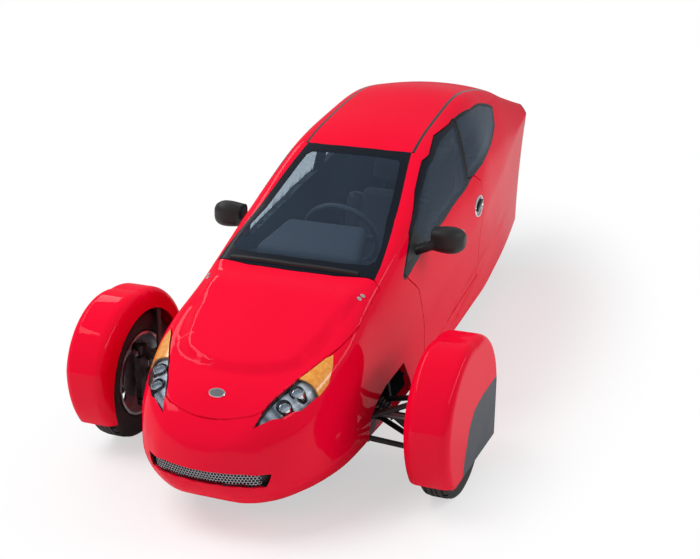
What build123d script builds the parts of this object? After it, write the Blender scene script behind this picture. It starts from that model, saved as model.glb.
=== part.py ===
from build123d import *
import math
import os

os.makedirs("parts", exist_ok=True)

# Overall sizes in mm
LENGTH = 4077.0
WIDTH = 1697.0
WHEELBASE = 2794.0
NOSE_TO_AXLE = 782.0
TYRE_R = 295.0
TYRE_W = 140.0
TYRE_X = 752.0
RIM_R = 190.0
KINGPIN_X = 690.0
BORE = 28.0

# Walls and gaps
SKIN = 32.0
GLASS = 5.0
SEAT = 0.3
SHUT = 5.5
RUN = 0.4

MID = LENGTH / 2
AXLE_F = NOSE_TO_AXLE
AXLE_R = NOSE_TO_AXLE + WHEELBASE

# Body sections, by distance from the nose: floor, sill, crease, roof rail, top,
# bulge of the flank, bulge of the upper side, rounding of the rail
COLUMNS = "d floor_z floor_w sill_z sill_w crease_z crease_w rail_z rail_w top_z low up round"
SECTIONS = [
    (0, 265, 70, 300, 100, 345, 108, 410, 85, 425, 2, 5, 20),
    (25, 208, 105, 262, 172, 350, 182, 440, 140, 458, 3, 8, 30),
    (70, 164, 148, 235, 236, 362, 246, 485, 195, 505, 4, 12, 45),
    (115, 142, 180, 224, 288, 375, 296, 523, 238, 544, 4, 15, 58),
    (170, 128, 214, 217, 332, 390, 338, 555, 275, 578, 4, 18, 70),
    (280, 118, 262, 214, 388, 414, 383, 604, 330, 626, 3, 16, 78),
    (420, 114, 310, 216, 425, 440, 412, 660, 370, 676, 2, 14, 85),
    (800, 120, 350, 240, 450, 470, 428, 808, 374, 820, -6, 14, 80),
    (1250, 130, 365, 295, 470, 505, 445, 985, 384, 1015, -8, 14, 85),
    (1700, 140, 355, 335, 472, 615, 448, 1212, 338, 1240, -10, 20, 90),
    (2050, 145, 343, 345, 460, 694, 442, 1296, 318, 1328, -12, 24, 90),
    (2400, 150, 330, 352, 445, 770, 433, 1345, 302, 1377, -14, 26, 90),
    (2700, 157, 303, 353, 414, 822, 405, 1324, 283, 1357, -14, 23, 86),
    (3000, 165, 275, 352, 380, 868, 374, 1278, 264, 1310, -14, 18, 80),
    (3500, 195, 215, 328, 305, 922, 308, 1155, 232, 1185, -10, 10, 60),
    (4100, 235, 140, 300, 205, 972, 232, 1018, 192, 1038, -6, 3, 25),
]
NOSE_SHIFT = {25: 32.0, 70: 28.0, 115: 22.0, 170: 14.0, 280: 6.0}


def at(d):
    """Place of a distance from the nose in the shared frame."""
    return d - MID


def bulged(a, b, s):
    """Middle of an arc from a to b that stands out by s."""
    dx, dz = b[0] - a[0], b[1] - a[1]
    n = math.hypot(dx, dz)
    return ((a[0] + b[0]) / 2 + s * dz / n, (a[1] + b[1]) / 2 - s * dx / n)


def section(row, t, shift):
    """One cross section, inset by t."""
    v = dict(zip(COLUMNS.split(), row))
    floor = (v["floor_w"] - 0.4 * t, v["floor_z"] + t)
    sill = (v["sill_w"] - t, v["sill_z"] + 0.35 * t)
    crease = (v["crease_w"] - t, v["crease_z"])
    rail = (v["rail_w"] - t, v["rail_z"] - 0.85 * t)
    top = (0, v["top_z"] - t)
    low = bulged(sill, crease, v["low"])
    up = bulged(crease, rail, v["up"])

    def flip(p):
        return (-p[0], p[1])

    place = Plane(origin=(0, at(v["d"] + shift), 0), x_dir=(1, 0, 0), z_dir=(0, -1, 0))
    with BuildSketch(place) as s:
        with BuildLine():
            Line(flip(floor), floor)
            Line(floor, sill)
            ThreePointArc(sill, low, crease)
            ThreePointArc(crease, up, rail)
            ThreePointArc(rail, top, flip(rail))
            ThreePointArc(flip(rail), flip(up), flip(crease))
            ThreePointArc(flip(crease), flip(low), flip(sill))
            Line(flip(sill), flip(floor))
        make_face()
        corners = [c for c in s.vertices() if abs(abs(c.X) - rail[0]) < 0.01 and abs(c.Y - rail[1]) < 0.01]
        fillet(corners, max(v["round"] - t, 10))
    return s.sketch.faces()[0]


def body(t):
    """The whole body as a solid, inset by t."""
    rows = SECTIONS if t < 20 else SECTIONS[1:]
    faces = [section(r, t, NOSE_SHIFT.get(r[0], 0) if t > 20 else 0) for r in rows]
    with BuildPart() as b:
        loft(sections=faces, ruled=True)
    return b.part


def side_prism(points, x0, x1, grow=0.0, r=0.0):
    """Side outline of (distance, height) points, drawn out from x0 to x1."""
    with BuildPart() as p:
        with BuildSketch(Plane(origin=(x0, 0, 0), x_dir=(0, 1, 0), z_dir=(1, 0, 0))) as s:
            with BuildLine():
                Polyline([(at(d), z) for d, z in points], close=True)
            make_face()
            if r:
                fillet(s.vertices(), r)
            if grow:
                offset(amount=grow, kind=Kind.INTERSECTION, mode=Mode.REPLACE)
        extrude(amount=x1 - x0)
    return p.part


def plan_prism(points, z0, z1, grow=0.0, r=0.0):
    """Plan outline of (half width, distance) points, drawn up from z0 to z1."""
    with BuildPart() as p:
        with BuildSketch(Plane.XY.offset(z0)) as s:
            with BuildLine():
                Polyline([(x, at(d)) for x, d in points], close=True)
            make_face()
            if r:
                fillet(s.vertices(), r)
            if grow:
                offset(amount=grow, kind=Kind.INTERSECTION, mode=Mode.REPLACE)
        extrude(amount=z1 - z0)
    return p.part


def both(points):
    """A plan half outline, mirrored to a whole one."""
    return list(points) + [(-x, d) for x, d in reversed(points) if x]


def block(x0, x1, d0, d1, z0, z1):
    """A plain box by its limits."""
    with BuildPart() as p:
        with Locations(((x0 + x1) / 2, at((d0 + d1) / 2), (z0 + z1) / 2)):
            Box(x1 - x0, d1 - d0, z1 - z0)
    return p.part


def rod(a, b, r):
    """A round bar between two points given as (x, distance, height)."""
    p, q = Vector(a[0], at(a[1]), a[2]), Vector(b[0], at(b[1]), b[2])
    with BuildPart() as c:
        with BuildSketch(Plane(origin=p, z_dir=(q - p))):
            Circle(r)
        extrude(amount=(q - p).length)
    return c.part


def flipped(shape):
    """The same piece on the other side of the car."""
    return mirror(shape, about=Plane.YZ)


OUTER = body(0)
GROWN = body(-SEAT)
UNDER = body(GLASS)
BELOW = body(GLASS + SEAT)
INNER = body(SKIN)
TRIM = body(SKIN + SEAT)

# Tail, a plane that leans forward at the bottom
TAIL = [(4078.8, 1050), (3962, 215)]
TAIL_T = 30.0


def behind(back):
    """All that lies behind the tail plane moved forward by back."""
    (d1, z1), (d0, z0) = TAIL
    k = (d1 - d0) / (z1 - z0)
    low, high = d0 - k * (z0 + 100) - back, d1 + k * (1500 - z1) - back
    return side_prism([(low, -100), (high, 1500), (4600, 1500), (4600, -100)], -600, 600)


# Outlines on the body
LAMP = [(188, 69), (204, 118), (228, 183), (271, 273), (314, 368), (351, 451),
        (370, 416), (374, 357), (361, 289), (323, 204), (271, 135)]
AMBER_D = 292.0
HOOD_PLAN = [(0, 60), (40, 62), (80, 69), (124, 81), (172, 98), (204, 118), (228, 183), (271, 273),
             (314, 368), (351, 451), (470, 451), (470, 884), (360, 898), (200, 870), (0, 862)]
HOOD_LINE = [(451, 300), (451, 665), (542, 689), (654, 716), (766, 752), (857, 791), (950, 812), (950, 300)]
HOOD_LINE_X = 330.0
SHIELD = [(0, 862), (200, 870), (360, 898), (356, 980), (325, 1230), (258, 1664), (150, 1646), (0, 1640)]
ROOF = [(0, 1640.6), (150, 1646.6), (258, 1664.6), (258, 1668), (224, 3006), (0, 3006)]
DITCH = 14.0
HATCH = [(0, 3012), (224, 3012), (182, 4120), (0, 4120)]
HATCH_GLASS = [(0, 3085), (180, 3085), (150, 3800), (0, 3800)]
DOOR = [(1126, 800), (1250, 952), (1452, 1082), (1632, 1177), (1855, 1250), (2128, 1291), (2118, 1000),
        (2235, 988), (2335, 940), (2352, 850), (2295, 445), (1326, 354), (1352, 480), (1275, 690),
        (1200, 745)]
WINDOW = [(1168, 838), (1262, 930), (1459, 1058), (1638, 1152), (1859, 1224), (2098, 1264), (2088, 976),
          (1893, 946), (1648, 900), (1343, 850)]
SAIL_D = 1330.0
QUARTER = [(2150, 1274), (2400, 1282), (2648, 1266), (2930, 1203), (2856, 1130), (2643, 1066), (2233, 1006),
           (2142, 992)]
FASCIA = [(-50, 50), (-50, 700), (262, 700), (262, 560), (228, 470), (251, 346), (290, 220), (312, 50)]
ARCH = [(640, 60), (652, 240), (680, 312), (760, 352), (870, 388), (1079, 418), (1125, 330), (1150, 60)]
FLOOR = [(r[2] - 12, r[0]) for r in SECTIONS if r[0] > 400]
FLOOR = [(0, 280), (256, 280)] + FLOOR + [(0, 4100)]

lamp_cut = plan_prism(LAMP, 400, 760)
lamp_cuts = [lamp_cut, flipped(lamp_cut)]
hood_plan = plan_prism(both(HOOD_PLAN), 380, 1100)
hood_line = side_prism(HOOD_LINE, HOOD_LINE_X, 600)
hood_hole = hood_plan - [hood_line, flipped(hood_line)]
shield_cut = plan_prism(both(SHIELD), 760, 1400)
roof_cut = plan_prism(both(ROOF), 1000, 1500)
ROOF_HOLE = [(0, 1640), (150, 1646), (258 + DITCH, 1664), (224 + DITCH, 3012), (0, 3012)]
roof_hole = plan_prism(both(ROOF_HOLE), 1000, 1500)
hatch_hole = plan_prism(both(HATCH), 900, 1500)
fascia_cut = side_prism(FASCIA, -600, 600)
floor_cut = plan_prism(both(FLOOR), 60, 290)
arch_cut = side_prism(ARCH, 365, 600)
door_hole = side_prism(DOOR, 275, 700)
window_cut = side_prism(WINDOW, 200, 700, r=10)
quarter_cut = side_prism(QUARTER, 200, 700, r=10)
ahead = block(-600, 600, -100, SAIL_D, 0, 1500)

# The shell that the panels are cut from
shell = OUTER - [INNER, behind(TAIL_T + SEAT)]
layer = OUTER - UNDER

# Nose
GRILLE = [(-258, 306), (-160, 316), (160, 316), (258, 306), (244, 248), (150, 258), (-150, 258), (-244, 248)]


def front_prism(points, d0, d1, grow=0.0):
    """Front outline of (x, height) points, drawn back from d0 to d1."""
    with BuildPart() as p:
        with BuildSketch(Plane(origin=(0, at(d0), 0), x_dir=(-1, 0, 0), z_dir=(0, 1, 0))):
            with BuildLine():
                Polyline([(-x, z) for x, z in points], close=True)
            make_face()
            if grow:
                offset(amount=grow, kind=Kind.INTERSECTION, mode=Mode.REPLACE)
        extrude(amount=d1 - d0)
    return p.part


with BuildPart() as nose_fascia:
    add(shell & fascia_cut)
    add(hood_hole, mode=Mode.SUBTRACT)
    for cut in lamp_cuts:
        add(cut, mode=Mode.SUBTRACT)
    add(front_prism(GRILLE, -20, 190), mode=Mode.SUBTRACT)
nose_fascia.part.label = "nose_fascia"
export_step(nose_fascia.part, "parts/nose_fascia.step")

# Grille, a bent plate with six-sided holes
MESH_STEP = 24.0
MESH_HOLE = 10.0
MESH_ROWS = [268.0, 288.8, 309.6]
with BuildPart() as lower_grille:
    with BuildSketch(Plane.XY.offset(240)):
        with BuildLine():
            ThreePointArc((-262, at(128)), (0, at(34)), (262, at(128)))
            Line((262, at(128)), (262, at(138)))
            ThreePointArc((262, at(138)), (0, at(44)), (-262, at(138)))
            Line((-262, at(138)), (-262, at(128)))
        make_face()
    extrude(amount=84)
    add(front_prism(GRILLE, -20, 190, -SEAT), mode=Mode.INTERSECT)
    holes = []
    for i, z in enumerate(MESH_ROWS):
        for k in range(-9, 10):
            x = (k + 0.5 * (i % 2)) * MESH_STEP
            if abs(x) < 228:
                holes.append((-x, z))
    with BuildSketch(Plane(origin=(0, at(0), 0), x_dir=(-1, 0, 0), z_dir=(0, 1, 0))):
        with Locations(*holes):
            RegularPolygon(MESH_HOLE, 6, rotation=30)
    extrude(amount=200, mode=Mode.SUBTRACT)
lower_grille.part.label = "lower_grille"
export_step(lower_grille.part, "parts/lower_grille.step")

# Hood, lifting at the rear
with BuildPart() as hood:
    add(shell & plan_prism(both(HOOD_PLAN), 380, 1100, grow=-SHUT))
    line = side_prism(HOOD_LINE, HOOD_LINE_X - SHUT, 600, grow=SHUT)
    add(line, mode=Mode.SUBTRACT)
    add(flipped(line), mode=Mode.SUBTRACT)
hood.part.label = "hood"
export_step(hood.part, "parts/hood.step")

# Lamps
lamp_body = plan_prism(LAMP, 400, 760, grow=-SEAT)
lamp_front = lamp_body & block(0, 600, -50, AMBER_D - SEAT, 300, 900)
lamp_rear = lamp_body & block(0, 600, AMBER_D, 600, 300, 900)
with BuildPart() as headlamp_housings:
    add((lamp_body & BELOW) - INNER)
    add(rod((282, 210, 470), (252, 130, 640), 26), mode=Mode.SUBTRACT)
    add(rod((301, 262, 540), (267, 192, 690), 27), mode=Mode.SUBTRACT)
    add(flipped(headlamp_housings.part))
headlamp_housings.part.label = "headlamp_housings"
export_step(headlamp_housings.part, "parts/headlamp_housings.step")

with BuildPart() as headlamp_lenses:
    add(layer & lamp_front)
    add(flipped(headlamp_lenses.part))
headlamp_lenses.part.label = "headlamp_lenses"
export_step(headlamp_lenses.part, "parts/headlamp_lenses.step")

with BuildPart() as turn_lamps:
    add(layer & lamp_rear)
    add(flipped(turn_lamps.part))
turn_lamps.part.label = "turn_lamps"
export_step(turn_lamps.part, "parts/turn_lamps.step")

# Glass
with BuildPart() as windshield:
    add(layer & plan_prism(both(SHIELD), 760, 1400, grow=-SEAT))
windshield.part.label = "windshield"
export_step(windshield.part, "parts/windshield.step")

with BuildPart() as quarter_glass_left:
    add(layer & side_prism(QUARTER, 200, 700, grow=-SEAT, r=10))
quarter_glass_left.part.label = "quarter_glass_left"
export_step(quarter_glass_left.part, "parts/quarter_glass_left.step")

pane = layer & side_prism(WINDOW, 200, 700, grow=-SEAT, r=10)
sail = pane & block(0, 600, 1000, SAIL_D - SEAT, 600, 1300)
glazing = pane & block(0, 600, SAIL_D, 2400, 600, 1300)

with BuildPart() as side_glass_right:
    add(flipped(glazing))
    add(flipped(quarter_glass_left.part))
side_glass_right.part.label = "side_glass_right"
export_step(side_glass_right.part, "parts/side_glass_right.step")

with BuildPart() as door_glass:
    add(glazing)
door_glass.part.label = "door_glass"
export_step(door_glass.part, "parts/door_glass.step")

# Sides of the body
cuts = [fascia_cut, hood_hole, shield_cut, roof_hole, hatch_hole, floor_cut, door_hole]
cuts += [lamp_cut, arch_cut, quarter_cut]
cuts += [flipped(cut) for cut in (lamp_cut, arch_cut, quarter_cut, window_cut)]
sides = (shell - cuts).solids().sort_by(Axis.X)
hood_stop = side_prism(HOOD_LINE, 345, 400, grow=SHUT - RUN) & block(300, 420, 765, 790, 700, 800)
hood_stop = (hood_stop & shell) - hood_line
striker = (block(395, 440, 2320, 2375, 862, 888) & shell) - side_prism(DOOR, 275, 700, grow=RUN - SHUT)
with BuildPart() as side_frame_left:
    add(sides[-1])
    add(hood_stop)
    add(striker)
side_frame_left.part.label = "side_frame_left"
export_step(side_frame_left.part, "parts/side_frame_left.step")

with BuildPart() as side_frame_right:
    add(sides[0])
    add(flipped(hood_stop))
side_frame_right.part.label = "side_frame_right"
export_step(side_frame_right.part, "parts/side_frame_right.step")

with BuildPart() as roof_panel:
    add(shell & roof_cut)
roof_panel.part.label = "roof_panel"
export_step(roof_panel.part, "parts/roof_panel.step")

with BuildPart() as roof_mouldings:
    strip = [(258 + SEAT, 1670), (258 + DITCH - SEAT, 1670), (224 + DITCH - SEAT, 3000), (224 + SEAT, 3000)]
    add(layer & plan_prism(strip, 1000, 1500))
    add(flipped(roof_mouldings.part))
roof_mouldings.part.label = "roof_mouldings"
export_step(roof_mouldings.part, "parts/roof_mouldings.step")

# Wheel well of the rear wheel
WELL_X = 150.0
WELL = [(3190, 100), (3190, 520), (3330, 660), (3780, 660), (3900, 560), (3900, 100)]
with BuildPart() as floor_pan:
    add(shell & floor_cut)
    add(fascia_cut, mode=Mode.SUBTRACT)
    add(side_prism(WELL, -WELL_X, WELL_X, grow=SEAT), mode=Mode.SUBTRACT)
floor_pan.part.label = "floor_pan"
export_step(floor_pan.part, "parts/floor_pan.step")

with BuildPart() as wheel_housing:
    add(side_prism(WELL, -WELL_X, WELL_X))
    add(side_prism(WELL, -WELL_X + 6, WELL_X - 6, grow=-6), mode=Mode.SUBTRACT)
    add(block(-300, 300, 3000, 4100, 0, 240), mode=Mode.SUBTRACT)
wheel_housing.part.label = "wheel_housing"
export_step(wheel_housing.part, "parts/wheel_housing.step")

# Tail
with BuildPart() as tail_panel:
    add((OUTER & behind(TAIL_T)) - behind(0))
    stop = (behind(TAIL_T + SHUT - RUN) - behind(TAIL_T / 2)) & block(-30, 30, 3900, 4100, 1000, 1046)
    add(stop & OUTER)
tail_panel.part.label = "tail_panel"
export_step(tail_panel.part, "parts/tail_panel.step")

LAMP_T = 12.0
TAIL_LAMP = [(105, 800), (212, 820), (212, 930), (150, 950), (105, 930)]
with BuildPart() as tail_lamps:
    add(behind(-SEAT) - behind(-LAMP_T))
    add(front_prism(TAIL_LAMP, 3900, 4200), mode=Mode.INTERSECT)
    add(flipped(tail_lamps.part))
tail_lamps.part.label = "tail_lamps"
export_step(tail_lamps.part, "parts/tail_lamps.step")

# Rear hatch and its glass
with BuildPart() as rear_hatch:
    add(shell & plan_prism(both(HATCH), 900, 1500, grow=-SHUT))
    add(behind(TAIL_T + SHUT), mode=Mode.SUBTRACT)
    add(plan_prism(both(HATCH_GLASS), 900, 1500, r=20), mode=Mode.SUBTRACT)
rear_hatch.part.label = "rear_hatch"
export_step(rear_hatch.part, "parts/rear_hatch.step")

with BuildPart() as hatch_glass:
    add(layer & plan_prism(both(HATCH_GLASS), 900, 1500, grow=-SEAT, r=20))
hatch_glass.part.label = "hatch_glass"
export_step(hatch_glass.part, "parts/hatch_glass.step")

# Door with handle and mirror
with BuildPart() as door_left:
    add(shell & side_prism(DOOR, 280, 700, grow=-SHUT))
    add(window_cut, mode=Mode.SUBTRACT)
door_left.part.label = "door_left"
export_step(door_left.part, "parts/door_left.step")

HANDLE = (2236, 826)
with BuildPart() as door_handle:
    with BuildSketch(Plane(origin=(400, at(HANDLE[0]), HANDLE[1]), x_dir=(0, 1, 0), z_dir=(1, 0, 0))):
        Ellipse(62, 40)
    extrude(amount=46)
    add(GROWN, mode=Mode.SUBTRACT)
door_handle.part.label = "door_handle"
export_step(door_handle.part, "parts/door_handle.step")

MIRROR = (545, 1368, 902)
MIRROR_COLUMNS = "x back up length height round"
MIRROR_SHELL = [(462, 8, 0, 90, 98, 30), (540, 0, 3, 102, 114, 38), (584, 6, 2, 86, 98, 36),
                (604, 16, 0, 48, 60, 22)]
with BuildPart() as mirror_left:
    for row in MIRROR_SHELL:
        m = dict(zip(MIRROR_COLUMNS.split(), row))
        centre = (m["x"], at(MIRROR[1] + m["back"]), MIRROR[2] + m["up"])
        with BuildSketch(Plane(origin=centre, x_dir=(0, 1, 0), z_dir=(1, 0, 0))):
            RectangleRounded(m["length"], m["height"], m["round"])
    loft()
    add(rod((400, 1296, 858), (486, 1366, 886), 22))
    add(OUTER, mode=Mode.SUBTRACT)
    add(sail)
mirror_left.part.label = "mirror_left"
export_step(mirror_left.part, "parts/mirror_left.step")

with BuildPart() as mirror_right:
    add(flipped(mirror_left.part))
mirror_right.part.label = "mirror_right"
export_step(mirror_right.part, "parts/mirror_right.step")

# Wiper at the foot of the windshield
with BuildPart() as wiper:
    add(plan_prism([(-300, 905), (-300, 893), (0, 880), (290, 888), (290, 900), (0, 892)], 800, 900))
    add(body(-12), mode=Mode.INTERSECT)
    add(GROWN, mode=Mode.SUBTRACT)
wiper.part.label = "wiper"
export_step(wiper.part, "parts/wiper.step")

# Bulkhead, engine and subframe
with BuildPart() as bulkhead:
    add(TRIM & block(-500, 500, 965, 985, 0, 1000))
    add(block(-60, 60, 960, 990, 600, 660), mode=Mode.SUBTRACT)
bulkhead.part.label = "bulkhead"
export_step(bulkhead.part, "parts/bulkhead.step")

with BuildPart() as engine:
    add(TRIM & block(-240, 240, 520, 860, 100, 560))
engine.part.label = "engine"
export_step(engine.part, "parts/engine.step")

TOWER = (335.0, 375.0)
LOW_Z, UP_Z = 215.0, 285.0
RACK = (912.0, 236.0)
with BuildPart() as subframe:
    add(TRIM & block(TOWER[0], TOWER[1], 590, 960, 100, 380))
    add(rod((300, AXLE_F, TYRE_R), (420, AXLE_F, TYRE_R), 48), mode=Mode.SUBTRACT)
    add(rod((300, RACK[0], RACK[1] + 9), (420, RACK[0], RACK[1] + 9), 10 + RUN), mode=Mode.SUBTRACT)
    add(flipped(subframe.part))
    add(TRIM & block(-336, 336, 890, 955, 100, 200))
subframe.part.label = "subframe"
export_step(subframe.part, "parts/subframe.step")

# Front suspension, with arms that spread towards the body
SPREAD = (-75.0, 150.0)
LOW_OUT, UP_OUT = 160.0, 418.0
EYE_R = 15.0
with BuildPart() as suspension_arms:
    for z_in, z_out in ((LOW_Z, LOW_OUT), (UP_Z, UP_OUT)):
        for step in SPREAD:
            add(rod((TOWER[1], AXLE_F + step, z_in), (KINGPIN_X, AXLE_F, z_out), 12))
            add(rod((TOWER[1], AXLE_F + step, z_in), (TOWER[1] + 45, AXLE_F + step, z_in), 20))
        add(rod((KINGPIN_X, AXLE_F, z_out - 13), (KINGPIN_X, AXLE_F, z_out + 13), 26))
        add(rod((KINGPIN_X, AXLE_F, z_out - 40), (KINGPIN_X, AXLE_F, z_out + 40), EYE_R), mode=Mode.SUBTRACT)
    add(block(-900, TOWER[1] + SEAT, 500, 1100, 0, 800), mode=Mode.SUBTRACT)
    add(flipped(suspension_arms.part))
suspension_arms.part.label = "suspension_arms"
export_step(suspension_arms.part, "parts/suspension_arms.step")

DAMP_D = AXLE_F + 58
COILS = 6
with BuildPart() as dampers:
    low, high = Vector(590, 0, LOW_OUT + 41.25), Vector(TOWER[1] + SEAT, 0, 348)
    for i in range(COILS):
        p, q = low + (high - low) * (0.28 + 0.1 * i), low + (high - low) * (0.34 + 0.1 * i)
        add(rod((p.X, DAMP_D, p.Z), (q.X, DAMP_D, q.Z), 26))
    add(rod((low.X, DAMP_D, low.Z), (high.X, DAMP_D, high.Z), 13))
    add(block(-900, TOWER[1] + SEAT, 500, 1100, 0, 800), mode=Mode.SUBTRACT)
    add(flipped(dampers.part))
dampers.part.label = "dampers"
export_step(dampers.part, "parts/dampers.step")

with BuildPart() as drive_shafts:
    add(rod((240 + SEAT, AXLE_F, TYRE_R), (660, AXLE_F, TYRE_R), 13))
    add(rod((240 + SEAT, AXLE_F, TYRE_R), (320, AXLE_F, TYRE_R), 38))
    add(rod((612, AXLE_F, TYRE_R), (660, AXLE_F, TYRE_R), 34))
    add(flipped(drive_shafts.part))
drive_shafts.part.label = "drive_shafts"
export_step(drive_shafts.part, "parts/drive_shafts.step")

# Steering rack with its rods, one bar that slides across
with BuildPart() as steering_rack:
    add(rod((-KINGPIN_X, RACK[0], RACK[1] + 9), (KINGPIN_X, RACK[0], RACK[1] + 9), 10))
    for side in (-1, 1):
        add(rod((side * KINGPIN_X, RACK[0], RACK[1]), (side * KINGPIN_X, RACK[0], RACK[1] + 18), 18))
steering_rack.part.label = "steering_rack"
export_step(steering_rack.part, "parts/steering_rack.step")

# Knuckle, which carries the fender pod
with BuildPart() as knuckle_left:
    add(block(676, 704, AXLE_F - 34, AXLE_F + 34, LOW_OUT + 28, UP_OUT - 40))
    add(rod((KINGPIN_X, AXLE_F, LOW_OUT - 13), (KINGPIN_X, AXLE_F, UP_OUT + 13), EYE_R - RUN))
    add(rod((700, AXLE_F, TYRE_R), (760, AXLE_F, TYRE_R), BORE - RUN))
    add(block(676, 704, AXLE_F + 30, RACK[0] + 18, RACK[1] - 20, RACK[1] - 6))
    add(block(664 + SEAT, 690, AXLE_F + 30, AXLE_F + 140, 346, 372))
    add(block(664 + SEAT, 675, AXLE_F + 110, AXLE_F + 140, 346, 600))
knuckle_left.part.label = "knuckle_left"
export_step(knuckle_left.part, "parts/knuckle_left.step")

with BuildPart() as knuckle_right:
    add(flipped(knuckle_left.part))
knuckle_right.part.label = "knuckle_right"
export_step(knuckle_right.part, "parts/knuckle_right.step")

# Fender pod, a rounded hood over the wheel, open at the inner side
POD = [((486, 150), (416, 285), (398, 420)), ((398, 420), (500, 606), (775, 680)),
       ((775, 680), (1036, 592), (1154, 385))]
POD_FOOT = (1160, 130)
POD_IN, POD_OUT, POD_T, POD_R = 655.0, WIDTH / 2, 9.0, 40.0
SLATE = [(626, 100), (650, 215), (700, 330), (765, 385), (880, 404), (1300, 412), (1300, 100)]
SLATE_T, SLATE_DEEP = 9.5, 26.0


def pod_shape(x0, x1, grow, r_in, r_out):
    """Pod outline between two planes, rounded at both sides."""
    with BuildPart() as p:
        with BuildSketch(Plane(origin=(x0, 0, 0), x_dir=(0, 1, 0), z_dir=(1, 0, 0))) as s:
            with BuildLine():
                for arc in POD:
                    ThreePointArc([(at(d), z) for d, z in arc])
                Polyline([(at(d), z) for d, z in (POD[-1][-1], POD_FOOT, POD[0][0])])
            make_face()
            smooth = [c for c in s.vertices() if c.Y > 200]
            fillet(smooth, 60)
            if grow:
                offset(amount=grow, kind=Kind.INTERSECTION, mode=Mode.REPLACE)
        extrude(amount=x1 - x0)
        inner = [e for e in p.faces().sort_by(Axis.X)[0].edges() if e.center().Z > 175]
        fillet(inner, r_in)
        outer = [e for e in p.faces().sort_by(Axis.X)[-1].edges() if e.center().Z > 175]
        fillet(outer, r_out)
    return p.part


pod_full = pod_shape(POD_IN, POD_OUT, 0, 52, POD_R)
pod_pocket = pod_shape(POD_IN + POD_T, POD_OUT - SLATE_T, -POD_T, 44, POD_R - 8)
pod_hollow = pod_full - pod_pocket - block(600, POD_OUT - SLATE_T, 300, 1300, 60, 158)
pod_hollow = pod_hollow - rod((600, AXLE_F, TYRE_R), (POD_IN + POD_T + 50, AXLE_F, TYRE_R), 300)
slate_cut = side_prism(SLATE, POD_OUT - SLATE_DEEP, POD_OUT + 20)
with BuildPart() as fender_pod_left:
    add(pod_hollow - slate_cut)
fender_pod_left.part.label = "fender_pod_left"
export_step(fender_pod_left.part, "parts/fender_pod_left.step")

with BuildPart() as fender_pod_right:
    add(flipped(fender_pod_left.part))
fender_pod_right.part.label = "fender_pod_right"
export_step(fender_pod_right.part, "parts/fender_pod_right.step")

with BuildPart() as pod_panel_left:
    add(pod_hollow & side_prism(SLATE, POD_OUT - SLATE_DEEP + SEAT, POD_OUT + 20, grow=-SEAT))
pod_panel_left.part.label = "pod_panel_left"
export_step(pod_panel_left.part, "parts/pod_panel_left.step")

with BuildPart() as pod_panel_right:
    add(flipped(pod_panel_left.part))
pod_panel_right.part.label = "pod_panel_right"
export_step(pod_panel_right.part, "parts/pod_panel_right.step")

# Wheels
RIM_W = 124.0
SPOKES = 5


def turned(points, x, d, z):
    """A ring turned about the wheel axis from (offset, radius) points."""
    with BuildPart() as p:
        with BuildSketch(Plane(origin=(x, at(d), z), x_dir=(1, 0, 0), z_dir=(0, -1, 0))):
            with BuildLine():
                Polyline(points, close=True)
            make_face()
        revolve(axis=Axis((x, at(d), z), (1, 0, 0)))
    return p.part


def rim(x, d, out, cap):
    """Rim with hub and brake disc, its face towards out, with or without a cap on the hub."""
    h = RIM_W / 2
    ring = [(-h, RIM_R), (-h, RIM_R - 12), (h, RIM_R - 12), (h, RIM_R)]
    face = [(out * 22, BORE), (out * 22, RIM_R - 6), (out * 34, RIM_R - 6), (out * 38, 60), (out * 38, BORE)]
    hub = [(-out * 34, BORE), (-out * 34, 110), (-out * 26, 110), (-out * 26, 52), (out * 30, 52),
           (out * 30, BORE)]
    with BuildPart() as p:
        add(turned(ring, x, d, TYRE_R))
        add(turned(face, x, d, TYRE_R))
        add(turned(hub, x, d, TYRE_R))
        if cap:
            add(rod((x + out * 28, d, TYRE_R), (x + out * 38, d, TYRE_R), 40))
        for i in range(SPOKES):
            a = 2 * math.pi * (i + 0.5) / SPOKES
            y, z = d + 116 * math.cos(a), TYRE_R + 116 * math.sin(a)
            add(rod((x + out * 10, y, z), (x + out * 60, y, z), 42), mode=Mode.SUBTRACT)
    return p.part


def tyre(x, d):
    """Tyre with rounded shoulders."""
    h, r = TYRE_W / 2, RIM_R + SEAT
    half = [(RIM_W / 2 - 4, r), (h - 3, r + 26), (h, r + 50), (h - 5, TYRE_R - 28), (h - 20, TYRE_R - 7),
            (h - 42, TYRE_R - 1)]
    points = half + [(0, TYRE_R)] + [(-a, b) for a, b in reversed(half)]
    return turned(points, x, d, TYRE_R)


with BuildPart() as rim_front_left:
    add(rim(TYRE_X, AXLE_F, 1, True))
rim_front_left.part.label = "rim_front_left"
export_step(rim_front_left.part, "parts/rim_front_left.step")

with BuildPart() as rim_front_right:
    add(rim(-TYRE_X, AXLE_F, -1, True))
rim_front_right.part.label = "rim_front_right"
export_step(rim_front_right.part, "parts/rim_front_right.step")

with BuildPart() as rim_rear:
    add(rim(0, AXLE_R, 1, False))
rim_rear.part.label = "rim_rear"
export_step(rim_rear.part, "parts/rim_rear.step")

with BuildPart() as tyre_front_left:
    add(tyre(TYRE_X, AXLE_F))
tyre_front_left.part.label = "tyre_front_left"
export_step(tyre_front_left.part, "parts/tyre_front_left.step")

with BuildPart() as tyre_front_right:
    add(tyre(-TYRE_X, AXLE_F))
tyre_front_right.part.label = "tyre_front_right"
export_step(tyre_front_right.part, "parts/tyre_front_right.step")

with BuildPart() as tyre_rear:
    add(tyre(0, AXLE_R))
tyre_rear.part.label = "tyre_rear"
export_step(tyre_rear.part, "parts/tyre_rear.step")

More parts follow.
